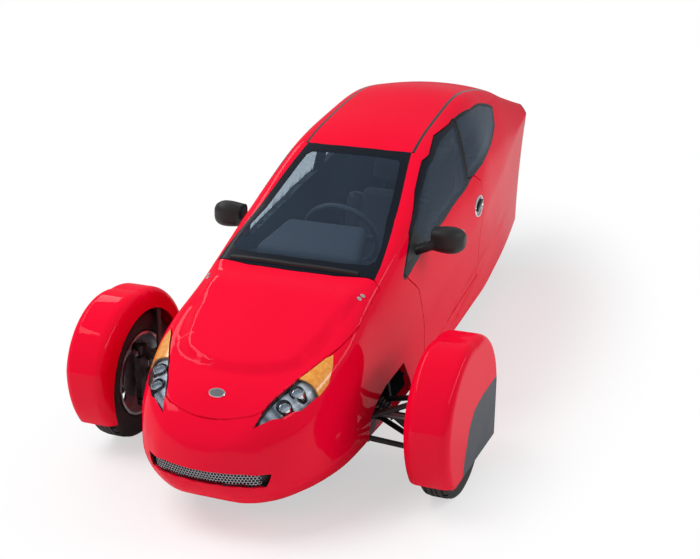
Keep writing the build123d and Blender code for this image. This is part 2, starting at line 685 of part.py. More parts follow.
# Swing arm of the rear wheel, carried by the front wall of the wheel housing
PIVOT = (3196.0, 400.0)
with BuildPart() as swing_arm:
    for side in (-1, 1):
        add(rod((side * 112, PIVOT[0] + 30, PIVOT[1]), (side * 112, AXLE_R, TYRE_R), 18))
        add(rod((side * 96, AXLE_R, TYRE_R), (side * 130, AXLE_R, TYRE_R), 30))
    add(rod((-125, PIVOT[0] + 30, PIVOT[1]), (125, PIVOT[0] + 30, PIVOT[1]), 22))
    add(block(-50, 50, PIVOT[0] + SEAT, PIVOT[0] + 30, PIVOT[1] - 20, PIVOT[1] + 20))
    add(rod((-130, AXLE_R, TYRE_R), (130, AXLE_R, TYRE_R), BORE - RUN))
swing_arm.part.label = "swing_arm"
export_step(swing_arm.part, "parts/swing_arm.step")

# Cabin
DASH = [(985 + SEAT, 560), (985 + SEAT, 790), (1120, 822), (1235, 800), (1215, 640), (1120, 560)]
with BuildPart() as dashboard:
    add(side_prism(DASH, -330, 330))
    add(TRIM, mode=Mode.INTERSECT)
dashboard.part.label = "dashboard"
export_step(dashboard.part, "parts/dashboard.step")

COLUMN_A, COLUMN_B = (0, 1232, 742), (0, 1440, 836)
with BuildPart() as steering_column:
    add(rod(COLUMN_A, COLUMN_B, 24))
    add(dashboard.part, mode=Mode.SUBTRACT)
steering_column.part.label = "steering_column"
export_step(steering_column.part, "parts/steering_column.step")

WHEEL_R = 172.0
axis = Vector(0, COLUMN_B[1] - COLUMN_A[1], COLUMN_B[2] - COLUMN_A[2]).normalized()
hub_at = Vector(0, at(COLUMN_B[1]), COLUMN_B[2]) + axis * RUN
with BuildPart() as steering_wheel:
    with BuildSketch(Plane(origin=hub_at, x_dir=(1, 0, 0), z_dir=axis)):
        Circle(48)
        Rectangle(2 * WHEEL_R, 30)
        with Locations((0, -WHEEL_R / 2)):
            Rectangle(30, WHEEL_R)
    extrude(amount=16)
    rim_plane = Plane(origin=hub_at + axis * 8, x_dir=(1, 0, 0), z_dir=axis)
    with Locations(rim_plane.location):
        Torus(WHEEL_R, 14)
steering_wheel.part.label = "steering_wheel"
export_step(steering_wheel.part, "parts/steering_wheel.step")


SEAT_SIDE = [(0, 0), (0, 150), (90, 165), (400, 120), (520, 640), (545, 655), (570, 790), (640, 790),
             (650, 640), (560, 40), (540, 0)]


def seat(d, z):
    """Seat with cushion, back and head rest, standing on the floor."""
    with BuildPart() as p:
        add(side_prism([(d + a, z + b) for a, b in SEAT_SIDE], -225, 225, r=12))
        add(block(-170, 170, d + 60, d + 470, 100, z + 20))
        add(block(-300, -110, d + 440, d + 760, z + 650, z + 900), mode=Mode.SUBTRACT)
        add(block(110, 300, d + 440, d + 760, z + 650, z + 900), mode=Mode.SUBTRACT)
        add(TRIM, mode=Mode.INTERSECT)
    return p.part


with BuildPart() as front_seat:
    add(seat(1560, 270))
front_seat.part.label = "front_seat"
export_step(front_seat.part, "parts/front_seat.step")

with BuildPart() as rear_seat:
    add(seat(2350, 330))
rear_seat.part.label = "rear_seat"
export_step(rear_seat.part, "parts/rear_seat.step")

# Exhaust under the floor
with BuildPart() as exhaust:
    add(rod((-150, 1000, 92), (-150, 2900, 128), 24))
    add(rod((-150, 2300, 112), (-150, 2800, 122), 44))
    for d in (1150, 1900, 2700):
        add(block(-165, -135, d, d + 30, 90, 230))
    add(GROWN, mode=Mode.SUBTRACT)
exhaust.part.label = "exhaust"
export_step(exhaust.part, "parts/exhaust.step")
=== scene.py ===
# %% [markdown]
# # A three wheeled car
# The car is a glossy red teardrop on three wheels: two in front under fenders of their own, one under the
# tail. The imported solids come in first as a fixed frame, because they hold the sizes and the joints.

# %% Load the frame
import math
import bmesh
import bpy
from mathutils import Matrix, Vector
from mathutils.bvhtree import BVHTree
from mathutils.geometry import intersect_line_line_2d, intersect_point_line
from mathutils.interpolate import poly_3d_calc


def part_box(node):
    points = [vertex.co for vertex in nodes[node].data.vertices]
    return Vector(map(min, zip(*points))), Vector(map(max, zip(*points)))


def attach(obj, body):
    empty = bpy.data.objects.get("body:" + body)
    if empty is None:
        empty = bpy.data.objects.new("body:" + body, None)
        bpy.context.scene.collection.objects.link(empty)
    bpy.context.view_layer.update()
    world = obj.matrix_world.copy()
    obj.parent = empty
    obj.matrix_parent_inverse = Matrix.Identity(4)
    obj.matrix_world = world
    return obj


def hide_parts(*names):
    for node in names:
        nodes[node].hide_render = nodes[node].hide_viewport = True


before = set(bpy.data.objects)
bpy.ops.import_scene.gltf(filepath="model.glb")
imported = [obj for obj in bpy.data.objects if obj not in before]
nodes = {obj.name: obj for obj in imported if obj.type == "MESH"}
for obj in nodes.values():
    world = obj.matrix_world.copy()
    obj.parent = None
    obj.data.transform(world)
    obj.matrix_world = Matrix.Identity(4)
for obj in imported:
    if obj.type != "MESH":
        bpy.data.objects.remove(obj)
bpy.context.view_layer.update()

NOSE = 2.0385


def at(d):
    """The row's y for a distance from the nose tip, in millimetres."""
    return d / 1000 - NOSE


def spot(x, d, z):
    """A point of the car: millimetres across, back from the nose and up."""
    return Vector((x / 1000, at(d), z / 1000))


def side_view(p):
    """A point's distance from the nose and its height, in millimetres."""
    return (p.y + NOSE) * 1000, p.z * 1000


def linked(name, data):
    """A new object of the scene that holds some data."""
    made = bpy.data.objects.new(name, data)
    bpy.context.collection.objects.link(made)
    return made


def as_mesh(bm, name):
    """A mesh with what a bmesh holds. The bmesh is let go."""
    mesh = bpy.data.meshes.new(name)
    bm.to_mesh(mesh)
    bm.free()
    return mesh


# %% [markdown]
# ## Camera
# The picture was taken from above the car's left front corner with a fairly long lens. The wheelbase, the
# track and the roof height fix where the camera stood: each known point of the car gives one ray, and the
# rays meet here. The lens follows from a 36 mm sensor over the width of the picture.

# %% Camera
yaw, pitch, roll = (math.radians(a) for a in (-20.5876, 18.3435, 0.9922))
look = Vector((math.sin(yaw) * math.cos(pitch), math.cos(yaw) * math.cos(pitch), -math.sin(pitch)))
sideways = look.cross(Vector((0, 0, 1))).normalized()
upright = sideways.cross(look)
right = sideways * math.cos(roll) + upright * math.sin(roll)
above = upright * math.cos(roll) - sideways * math.sin(roll)
view = bpy.data.cameras.new("view")
view.sensor_width = 36.0
view.lens = 66.118
view.clip_end = 200.0
camera = linked("view", view)
turn = Matrix((right, above, -look)).transposed().to_4x4()
camera.matrix_world = Matrix.Translation((2.04617, -5.91686, 2.51656)) @ turn
bpy.context.scene.camera = camera
bpy.context.scene.view_settings.view_transform = "Standard"
print("camera stands", [round(c, 2) for c in camera.location])

# %% [markdown]
# ## Shader maths
# A finish is easier to read as a sum than as a drawing of nodes. This small class wraps one socket. A sum
# or product of it adds a Math node, and every other node comes from its one method, which takes the kind
# of node, its settings and what goes into its sockets.

# %% Shader maths


class Ink:
    """A socket of one material, with the operators that grow new nodes from it."""

    def __init__(self, tree, out=None):
        self.tree = tree
        self.out = out

    def node(self, kind, settings=None, inputs=None, out=0):
        made = self.tree.nodes.new("ShaderNode" + kind)
        for name, value in (settings or {}).items():
            setattr(made, name, value)
        for name, value in (inputs or {}).items():
            if isinstance(value, Ink):
                self.tree.links.new(value.out, made.inputs[name])
            else:
                made.inputs[name].default_value = value
        return Ink(self.tree, made.outputs[out] if made.outputs else None)

    def maths(self, kind, a, b):
        return self.node("Math", {"operation": kind}, {0: a, 1: b})

    def __add__(self, other):
        return self.maths("ADD", self, other)

    def __sub__(self, other):
        return self.maths("SUBTRACT", self, other)

    def __rsub__(self, other):
        return self.maths("SUBTRACT", other, self)

    def __mul__(self, other):
        return self.maths("MULTIPLY", self, other)

    def __pow__(self, other):
        return self.maths("POWER", self, other)

    __radd__ = __add__
    __rmul__ = __mul__


def new_tree(name):
    """An empty material and its node tree."""
    made = bpy.data.materials.new(name)
    made.use_nodes = True
    made.node_tree.nodes.clear()
    return made, Ink(made.node_tree)


def finish(name, fixed, recipe):
    """A Principled finish: fixed values on its sockets, and what the recipe lets vary over the surface."""
    made, ink = new_tree(name)
    inputs = fixed | recipe(ink, ink.node("TexCoord", out="Object"))
    ink.node("OutputMaterial", None, {"Surface": ink.node("BsdfPrincipled", None, inputs)})
    return made


def noise(ink, place, scale, detail=2.0):
    """Soft random values from 0 to 1."""
    return ink.node("TexNoise", None, {"Vector": place, "Scale": scale, "Detail": detail})


def ease(ink, value, low, high):
    """0 below low and 1 above high, with a soft step between."""
    limits = {"Value": value, "From Min": low, "From Max": high}
    return ink.node("MapRange", {"interpolation_type": "SMOOTHSTEP"}, limits)


def tone(ink, share, a, b):
    """A colour between a and b."""
    return ink.node("Mix", {"data_type": "RGBA"}, {0: share, 6: a, 7: b}, out=2)


def relief(ink, height, depth):
    """A normal that follows a height of that many metres."""
    return ink.node("Bump", None, {"Height": height, "Distance": depth, "Strength": 1.0})


def ray(ink, kind):
    """1 on rays of one kind, such as those that the camera sends out."""
    return ink.node("LightPath", out="Is " + kind + " Ray")


def rgb(r, g, b):
    """A colour with full alpha."""
    return (r, g, b, 1.0)


print("shader helpers ready")

# %% [markdown]
# ## Studio
# The car stands in a white room with no edge in sight. The floor is a wide pale sheet that catches the
# soft shadow. Far from the car it turns into plain white for the camera and for reflections. A broad
# softbox hangs over the nose and a weaker one fills the near side. Two long strips draw the highlights.

# %% Studio
made, ink = new_tree("studio_floor")
place = ink.node("TexCoord", out="Object")
oval = ink.node("Mapping", None, {"Vector": place, "Scale": (2.3, 0.85, 1.0)})
reach = ink.node("VectorMath", {"operation": "LENGTH"}, {0: oval}, out="Value")
path = ray(ink, "Camera")
mirrored = ray(ink, "Glossy") + ray(ink, "Transmission")
grain = noise(ink, place, 2.5) * 0.02 + 0.93
shade = ink.node("CombineColor", None, {0: grain, 1: grain, 2: grain})
matt = ink.node("BsdfDiffuse", None, {"Color": shade})
white = ink.node("Emission", None, {"Color": rgb(1, 1, 1), "Strength": 1.0})
far = ease(ink, reach, 1.7, 3.3)
near_ring = (1 - path) * (1 - ease(ink, reach, 5.0, 8.0))
share = path * (far * 0.45 + 0.55) + near_ring * mirrored * far * 0.6
ink.node("OutputMaterial", None, {"Surface": ink.node("MixShader", None, {0: share, 1: matt, 2: white})})
bm = bmesh.new()
bmesh.ops.create_circle(bm, cap_ends=True, segments=96, radius=70.0)
sheet = as_mesh(bm, "studio_floor")
sheet.materials.append(made)
floor = linked("studio_floor", sheet)

AIM = Vector((0, -0.3, 0.5))
SOFTBOXES = "name across along up width length power mirrored".split()
BOXES = [
    ("softbox_key", -2.9, -3.6, 6.2, 4.2, 4.2, 310.0, False),
    ("softbox_edge", -3.6, -0.4, 4.2, 7.0, 0.7, 60.0, True),
    ("softbox_side", 4.4, -0.6, 3.0, 7.0, 0.6, 50.0, True),
    ("softbox_fill", 5.2, 0.4, 4.4, 3.4, 3.4, 90.0, False),
]
for row in BOXES:
    box = dict(zip(SOFTBOXES, row))
    lamp = bpy.data.lights.new(box["name"], "AREA")
    lamp.shape = "RECTANGLE"
    lamp.size = box["width"]
    lamp.size_y = box["length"]
    lamp.energy = box["power"]
    held = linked(box["name"], lamp)
    held.visible_glossy = box["mirrored"]
    held.location = (box["across"], box["along"], box["up"])
    held.rotation_euler = (AIM - held.location).to_track_quat("-Z", "Y").to_euler()
world = bpy.data.worlds.new("studio_air")
bpy.context.scene.world = world
world.use_nodes = True
world.node_tree.nodes.clear()
air = Ink(world.node_tree)
seen = ray(air, "Camera") + ray(air, "Transmission")
glow = seen * 0.68 + ray(air, "Glossy") * 0.08 + 0.32
sky = air.node("Background", None, {"Color": rgb(0.95, 0.975, 1.0), "Strength": glow})
air.node("OutputWorld", None, {"Surface": sky})
print("studio has", len(BOXES), "softboxes")

# %% [markdown]
# ## Paint and trim
# Car paint is a coloured coat with very fine flake under a clear layer. The flake is far smaller than a
# pixel, so it shows as a slight liveliness of the colour and the gloss. The clear layer has a faint
# orange peel, which keeps the reflections from looking like a computer's. Trim plastics are dark with a
# fine moulded grain, metals have a brushed or cast roughness, rubber is never quite black.

# %% Paint and trim


def red_coat(ink, place):
    flake = noise(ink, place, 2400.0, 1.0)
    cloud = noise(ink, place, 2.2, 1.0)
    deep = tone(ink, cloud, rgb(0.82, 0.001, 0.022), rgb(0.90, 0.0015, 0.034))
    colour = tone(ink, ease(ink, flake, 0.56, 0.74) * 0.25, deep, rgb(1.0, 0.01, 0.06))
    return {
        "Base Color": colour,
        "Roughness": 0.30 + flake * 0.12,
        "Normal": relief(ink, noise(ink, place, 300.0, 0.0), 0.00004),
    }


def moulded(dark, pale, scale, depth, rough, spread):
    """A grained plastic: two tones, a grain of that scale, and a roughness that wanders."""

    def recipe(ink, place):
        grain = noise(ink, place, scale, 3.0)
        wander = noise(ink, place, 6.0)
        return {
            "Base Color": tone(ink, ease(ink, grain, 0.3, 0.75), dark, pale),
            "Roughness": rough + wander * spread,
            "Normal": relief(ink, grain, depth),
        }

    return recipe


def metal(dark, pale, scale, stretch, rough, spread):
    """A metal whose fine marks are drawn out along one way."""

    def recipe(ink, place):
        drawn = ink.node("Mapping", None, {"Vector": place, "Scale": stretch})
        marks = noise(ink, drawn, scale, 3.0)
        return {
            "Base Color": tone(ink, marks, dark, pale),
            "Roughness": rough + marks * spread,
            "Normal": relief(ink, marks, 0.00006),
        }

    return recipe


def lamp_painted_glare(ink, place):
    """The lamp's bowl: painted shade at the tip, a painted highlight of plated plastic towards the amber
    lamp, and painted reflection bands across it.
    """
    back = ink.node("SeparateXYZ", None, {0: place}, out="Y")
    bands = {"Vector": place, "Scale": 9.0, "Distortion": 2.0}
    # The wave bands are painted reflection streaks in the base colour, not facets of the bowl.
    painted_reflection_bands = ink.node("TexWave", {"bands_direction": "DIAGONAL"}, bands)
    dark = tone(ink, painted_reflection_bands, rgb(0.16, 0.18, 0.21), rgb(0.6, 0.64, 0.7))
    bright = tone(ink, painted_reflection_bands, rgb(0.5, 0.53, 0.57), rgb(0.9, 0.92, 0.95))
    return {
        # Darker towards the tip is painted shade. Brighter towards the amber lamp is a painted highlight.
        "Base Color": tone(ink, ease(ink, back, -1.88, -1.79), dark, bright),
        "Roughness": 0.2 + noise(ink, place, 80.0) * 0.15,
    }


COAT = {"Coat Weight": 0.32, "Coat Roughness": 0.02, "Coat IOR": 1.45, "Specular IOR Level": 0.0}
SATIN = {"Specular IOR Level": 0.15}
MATT = {"Specular IOR Level": 0.12}
GLOSS = {"Coat Weight": 0.6, "Coat Roughness": 0.05}
LENS = {"Coat Weight": 1.0, "Coat Roughness": 0.03}
DULL_LENS = {"Coat Weight": 0.4, "Coat Roughness": 0.03}
BLACK, SOOT, GREY = [0.008] * 3, [0.02] * 3, [0.045] * 3
# Columns: slot, fixed values, dark tone, pale tone, scale and depth of the grain, roughness, its spread
PLASTICS = [
    ("slate", SATIN, (0.038, 0.052, 0.066), (0.052, 0.068, 0.084), 900.0, 0.00004, 0.38, 0.12),
    ("gloss_black", GLOSS, (0.006, 0.007, 0.009), (0.012, 0.013, 0.016), 300.0, 0.00001, 0.2, 0.1),
    ("black_plastic", {}, BLACK, SOOT, 1400.0, 0.00012, 0.42, 0.14),
    ("cabin_plastic", {}, (0.04, 0.05, 0.066), (0.07, 0.083, 0.105), 1100.0, 0.0002, 0.5, 0.12),
    ("frit", MATT, (0.005, 0.007, 0.012), (0.009, 0.012, 0.019), 300.0, 0.00001, 0.25, 0.1),
    ("plate", {"Coat Weight": 0.3}, (0.55, 0.56, 0.57), (0.66, 0.67, 0.68), 90.0, 0.00005, 0.35, 0.1),
    ("seat_cloth", {}, (0.03, 0.034, 0.042), (0.075, 0.08, 0.095), 1500.0, 0.0003, 0.78, 0.1),
    ("tyre_rubber", {}, BLACK, SOOT, 700.0, 0.0001, 0.6, 0.2),
    ("underbody", {}, BLACK, SOOT, 200.0, 0.0006, 0.7, 0.15),
    ("lamp_white", {"Coat Weight": 0.5}, (0.7, 0.73, 0.77), (0.9, 0.92, 0.95), 220.0, 0.0003, 0.2, 0.1),
    ("amber_lens", LENS, (0.78, 0.26, 0.02), (0.9, 0.4, 0.06), 60.0, 0.0004, 0.15, 0.1),
    ("red_lens", DULL_LENS, (0.28, 0.002, 0.004), (0.5, 0.006, 0.01), 120.0, 0.0004, 0.12, 0.1),
]
EVEN = (1, 1, 1)
# Columns: slot, share of metal, dark tone, pale tone, scale and stretch of the marks, roughness, its spread
METALS = [
    ("chrome_trim", 1.0, (0.72, 0.73, 0.75), (0.88, 0.89, 0.9), 60.0, EVEN, 0.06, 0.06),
    ("grille_metal", 1.0, (0.3, 0.31, 0.33), (0.5, 0.51, 0.53), 140.0, EVEN, 0.16, 0.1),
    ("bare_steel", 1.0, (0.13, 0.13, 0.135), (0.24, 0.24, 0.25), 80.0, (1, 8, 8), 0.28, 0.2),
    ("black_steel", 0.3, BLACK, GREY, 90.0, EVEN, 0.35, 0.2),
    ("cast_alloy", 1.0, (0.12, 0.12, 0.125), (0.2, 0.2, 0.21), 240.0, EVEN, 0.42, 0.2),
    ("wheel_alloy", 1.0, (0.5, 0.51, 0.53), (0.68, 0.69, 0.7), 160.0, EVEN, 0.25, 0.12),
]
FINISHES = {
    "red_paint": finish("red_paint", COAT, red_coat),
    "lamp_grey": finish("lamp_grey", {"Metallic": 0.25}, lamp_painted_glare),
}
for slot, fixed, dark, pale, *grain in PLASTICS:
    FINISHES[slot] = finish(slot, fixed, moulded(rgb(*dark), rgb(*pale), *grain))
for slot, share, dark, pale, *marks in METALS:
    FINISHES[slot] = finish(slot, {"Metallic": share}, metal(rgb(*dark), rgb(*pale), *marks))


def pane(name, tint, gloss, lift):
    """Clear or coloured glass: what is behind shows through the tint, a real gloss grows at grazing angles,
    and the lift mixes the gloss colour in everywhere as a painted reflection veil.
    """
    made, ink = new_tree(name)
    through = ink.node("BsdfTransparent", None, {"Color": tint})
    gloss_and_painted_veil = ink.node("BsdfPrincipled", None, {"Base Color": gloss, "Roughness": 0.03, "Coat Weight": 0.5})
    # The lift is a painted reflection veil: a fixed share of the Principled layer, in its gloss colour, over
    # the whole pane.
    edge = ink.node("LayerWeight", None, {"Blend": 0.5}, out="Facing") ** 5.0 * 0.85 + lift
    both = ink.node("MixShader", None, {0: edge, 1: through, 2: gloss_and_painted_veil})
    ink.node("OutputMaterial", None, {"Surface": both})
    return made


# The bluish gloss colour of the tinted glass is a painted reflection veil of the sky.
FINISHES["tinted_glass"] = pane("tinted_glass", rgb(0.86, 0.9, 0.93), rgb(0.12, 0.175, 0.26), 0.08)
FINISHES["clear_lens"] = pane("clear_lens", rgb(0.93, 0.95, 0.97), rgb(0.1, 0.1, 0.1), 0.03)

for node in nodes.values():
    for hold in node.material_slots:
        hold.material = FINISHES[hold.material.name.split(".")[0]]
print(len(FINISHES), "finishes")

# %% [markdown]
# ## The flowing skin
# The solids run straight from one cross section of the body to the next, which is plain to build and to
# measure. A real pressed or moulded body flows through those sections. The same table gives both shapes
# here: straight values between two rows, and values on a smooth curve through all rows. A panel is
# moved by the few millimetres between them, so seams stay together.

# %% The flowing skin
NAMES = "d floor_z floor_w sill_z sill_w crease_z crease_w rail_z rail_w top_z low up round".split()
ROWS = [
    (0, 265, 70, 300, 100, 345, 108, 410, 85, 425, 2, 5, 20),
    (25, 208, 105, 262, 172, 350, 182, 440, 140, 458, 3, 8, 30),
    (70, 164, 148, 235, 236, 362, 246, 485, 195, 505, 4, 12, 45),
    (115, 142, 180, 224, 288, 375, 296, 523, 238, 544, 4, 15, 58),
    (170, 128, 214, 217, 332, 390, 338, 555, 275, 578, 4, 18, 70),
    (280, 118, 262, 214, 388, 414, 383, 604, 330, 626, 3, 16, 78),
    (420, 114, 310, 216, 425, 440, 412, 660, 370, 676, 2, 14, 85),
    (800, 120, 350, 240, 450, 470, 428, 808, 374, 820, -6, 14, 80),
    (1250, 130, 365, 295, 470, 505, 445, 985, 384, 1015, -8, 14, 85),
    (1700, 140, 355, 335, 472, 615, 448, 1212, 338, 1240, -10, 20, 90),
    (2050, 145, 343, 345, 460, 694, 442, 1296, 318, 1328, -12, 24, 90),
    (2400, 150, 330, 352, 445, 770, 433, 1345, 302, 1377, -14, 26, 90),
    (2700, 157, 303, 353, 414, 822, 405, 1324, 283, 1357, -14, 23, 86),
    (3000, 165, 275, 352, 380, 868, 374, 1278, 264, 1310, -14, 18, 80),
    (3500, 195, 215, 328, 305, 922, 308, 1155, 232, 1185, -10, 10, 60),
    (4100, 235, 140, 300, 205, 972, 232, 1018, 192, 1038, -6, 3, 25),
]
STATIONS = [row[0] for row in ROWS]


def slopes():
    """The slope of every column at every row, from the parabola through its neighbours."""
    table = []
    for i in range(len(ROWS)):
        j = min(max(i, 1), len(ROWS) - 2)
        before, here, after = ROWS[j - 1], ROWS[j], ROWS[j + 1]
        h, k = here[0] - before[0], after[0] - here[0]
        row = []
        for a, b, c in zip(before, here, after):
            p, q = (b - a) / h, (c - b) / k
            middle = (p * k + q * h) / (h + k)
            row.append(middle if i == j else 2 * p - middle if i < j else 2 * q - middle)
        table.append(row)
    return table


SLOPES = slopes()


def values(d, flow):
    """The section's values at a distance from the nose, straight or on the smooth curve."""
    d = min(max(d, 0.0), STATIONS[-1])
    i = max(k for k in range(len(ROWS) - 1) if STATIONS[k] <= d or k == 0)
    a, b = ROWS[i], ROWS[i + 1]
    h = b[0] - a[0]
    t = (d - a[0]) / h
    if not flow:
        return {n: p + (q - p) * t for n, p, q in zip(NAMES, a, b)}
    m, n = SLOPES[i], SLOPES[i + 1]
    w = (2 * t**3 - 3 * t**2 + 1, t**3 - 2 * t**2 + t, 3 * t**2 - 2 * t**3, t**3 - t**2)
    blend = [w[0] * p + w[1] * h * u + w[2] * q + w[3] * h * v for p, q, u, v in zip(a, b, m, n)]
    return dict(zip(NAMES, blend))


def along(value, knots, levels):
    """A straight line through the levels at the knots, shifted evenly beyond them."""
    if value <= knots[0]:
        return value - knots[0] + levels[0]
    for (a, b), (p, q) in zip(zip(knots, knots[1:]), zip(levels, levels[1:])):
        if value <= b:
            return p + (q - p) * (value - a) / max(b - a, 1e-6)
    return value - knots[-1] + levels[-1]


def heights(v):
    return [v["floor_z"], v["sill_z"], v["crease_z"], v["rail_z"], v["top_z"]]


def widths(v):
    return [v["floor_w"], v["sill_w"], v["crease_w"], v["rail_w"], v["rail_w"]]


RIDGE = [(0, 259), (60, 262), (120, 274), (180, 298), (222, 326), (252, 362), (288, 500), (322, 700),
         (345, 900)]
RIDGE_H = 26.0
RIDGE_EDGE = (-12, 13)
RIDGE_FADE = (700, 860)
TOP_ABOVE = 60.0


def soft(value, low, high):
    """A soft step from 0 to 1."""
    t = min(max((value - low) / (high - low), 0.0), 1.0)
    return t * t * (3 - 2 * t)


def within(point, outline):
    """True if a flat point lies inside a closed outline."""
    x, y = point
    inside = False
    for (a, b), (c, e) in zip(outline, outline[1:] + outline[:1]):
        if (b > y) != (e > y) and x < (c - a) * (y - b) / (e - b) + a:
            inside = not inside
    return inside


def swell(x, d):
    """Height of the raised middle of the hood, inside its ridge."""
    if not 220 < d < 900 or abs(x) > 400:
        return 0.0
    p = Vector((abs(x), d))
    gap = 1e9
    for a, b in zip(RIDGE, RIDGE[1:]):
        start, end = Vector(a), Vector(b)
        t = intersect_point_line(p, start, end)[1]
        gap = min(gap, (p - start.lerp(end, min(max(t, 0.0), 1.0))).length)
    side = 1 if within(p, RIDGE + [(345, 2000), (0, 2000)]) else -1
    return RIDGE_H * soft(side * gap, *RIDGE_EDGE) * (1 - soft(d, *RIDGE_FADE))


GROOVE_LOW = [(1450, 310), (1750, 339), (2040, 398), (2499, 462), (3088, 501), (3400, 515)]
GROOVE_UP = [(1450, 352), (1704, 404), (2025, 455), (2411, 510), (2828, 537), (3400, 552)]
GROOVE_DEEP = 11.0
GROOVE_STARTS = (1450, 1700)
GROOVE_ENDS = (3000, 3400)
LOW_EDGE = (-14, 8, 30)
UP_EDGE = (-12, 10)
FLANK_X = 100


def level(line, d):
    """The height of a line of the side view at a distance from the nose."""
    for (a, p), (b, q) in zip(line, line[1:]):
        if d <= b:
            return p + (q - p) * (d - a) / (b - a)
    return line[-1][1]


def groove(d, z):
    """How deep the shallow groove along the lower flank is at a place of the side view."""
    if not GROOVE_STARTS[0] < d < GROOVE_ENDS[1]:
        return 0.0
    low, up = level(GROOVE_LOW, d), level(GROOVE_UP, d)
    ends = soft(d, *GROOVE_STARTS) * (1 - soft(d, *GROOVE_ENDS))
    wall = soft(z, low + LOW_EDGE[0], low + LOW_EDGE[-1])
    return GROOVE_DEEP * ends * wall * (1 - soft(z, up + UP_EDGE[0], up + UP_EDGE[-1]))


CHIN_FADE = (450, 850)
CHIN_SHARE = 0.48


def chin(x, d, z, v):
    """How far a point near the corners at floor and sill draws in, so that the nose is round below."""
    fade = 1 - soft(d, *CHIN_FADE)
    floor, sill = Vector((v["floor_w"], v["floor_z"])), Vector((v["sill_w"], v["sill_z"]))
    reach = (sill - floor).length * CHIN_SHARE
    point = Vector((abs(x), z))
    for corner, end in ((floor, Vector((0, floor.y))), (sill, Vector((v["crease_w"], v["crease_z"])))):
        other = sill if corner is floor else floor
        legs = sorted(((e - corner).normalized() for e in (end, other)), key=(point - corner).dot)
        run = max((point - corner).dot(legs[1]), 0.0)
        if run < reach and fade:
            t = 0.5 * (1 - run / reach)
            bend = corner + legs[1] * reach * (1 - t) ** 2 + legs[0] * reach * t * t
            return (bend - corner - legs[1] * run) * fade
    return Vector((0, 0))


NOSE_ROUND = 14.0
NOSE_MIDDLE = Vector((0, 345))


def nose_share(x, z):
    """How far a point of the flat nose end lies from its middle: 0 there, 1 at its edge."""
    chain = half_section(values(0, True))[0]
    ray = Vector((abs(x), z)) - NOSE_MIDDLE
    far = 1e9
    for a, b in zip(chain, chain[1:]):
        hit = intersect_line_line_2d(NOSE_MIDDLE, NOSE_MIDDLE + ray.normalized() * 400, a, b)
        far = min(far, (hit - NOSE_MIDDLE).length) if hit else far
    return min(ray.length / far, 1.0)


def eased(p):
    """A point of the straight body, moved to the flowing one."""
    x = p.x * 1000
    d, z = side_view(p)
    straight, flow = values(d, False), values(d, True)
    levels = heights(straight)
    x_new, z_new = x, along(z, levels, heights(flow))
    if levels[0] < z < levels[-1]:
        x_new = x * along(z, levels, widths(flow)) / along(z, levels, widths(straight))
    if z > straight["crease_z"] + TOP_ABOVE:
        z_new += swell(x, d)
    elif z < straight["crease_z"]:
        draw = chin(x_new, d, z_new, flow)
        x_new += draw.x * math.copysign(1, x)
        z_new += draw.y
    if abs(x) > FLANK_X:
        x_new -= math.copysign(groove(d, z), x)
    if d < 0.5:
        d -= NOSE_ROUND * (1 - nose_share(x, z) ** 2)
    return spot(x_new, d, z_new)


def arc_point(a, b, bulge, t):
    """A point on the arc from a to b that bulges sideways by that much."""
    run = Vector((b[0] - a[0], b[1] - a[1]))
    out = Vector((run.y, -run.x)).normalized()
    return Vector(a) + run * t + out * bulge * 4 * t * (1 - t)


def half_section(v):
    """Points round half a cross section, from the floor's middle to the top's."""
    floor, sill = (v["floor_w"], v["floor_z"]), (v["sill_w"], v["sill_z"])
    crease, rail = (v["crease_w"], v["crease_z"]), (v["rail_w"], v["rail_z"])
    rise = v["top_z"] - v["rail_z"]
    shares = [k / 30 for k in range(31)]
    crown = [Vector((rail[0] * (1 - t), rail[1] + rise * (1 - (1 - t) ** 2))) for t in shares]
    wall = [arc_point(crease, rail, v["up"], t) for t in shares]
    reach = v["round"] * 0.62
    wall = [p for p in wall if (p - Vector(rail)).length > reach]
    crown = [p for p in crown if (p - Vector(rail)).length > reach]
    a, b = wall[-1], crown[0]
    bend = [a.lerp(Vector(rail), t).lerp(Vector(rail).lerp(b, t), t) for t in (k / 11 for k in range(1, 11))]
    points = [Vector((0, floor[1])), Vector(floor) * 0.5 + Vector((0, floor[1] * 0.5)), Vector(floor)]
    points += [Vector(floor).lerp(Vector(sill), t) for t in (0.33, 0.67)]
    points += [arc_point(sill, crease, v["low"], k / 12) for k in range(12)]
    chain = points + wall + bend + crown
    lengths = [0.0]
    for p, q in zip(chain, chain[1:]):
        lengths.append(lengths[-1] + (q - p).length)
    return chain, lengths


ACROSS = 84
NOSE_RINGS = [-0.04, -0.2, -0.4, -0.6, -0.8, -0.93]
SPANS = NOSE_RINGS + [10.0 * k for k in range(61)] + [600 + 27.0 * k for k in range(1, 131)]


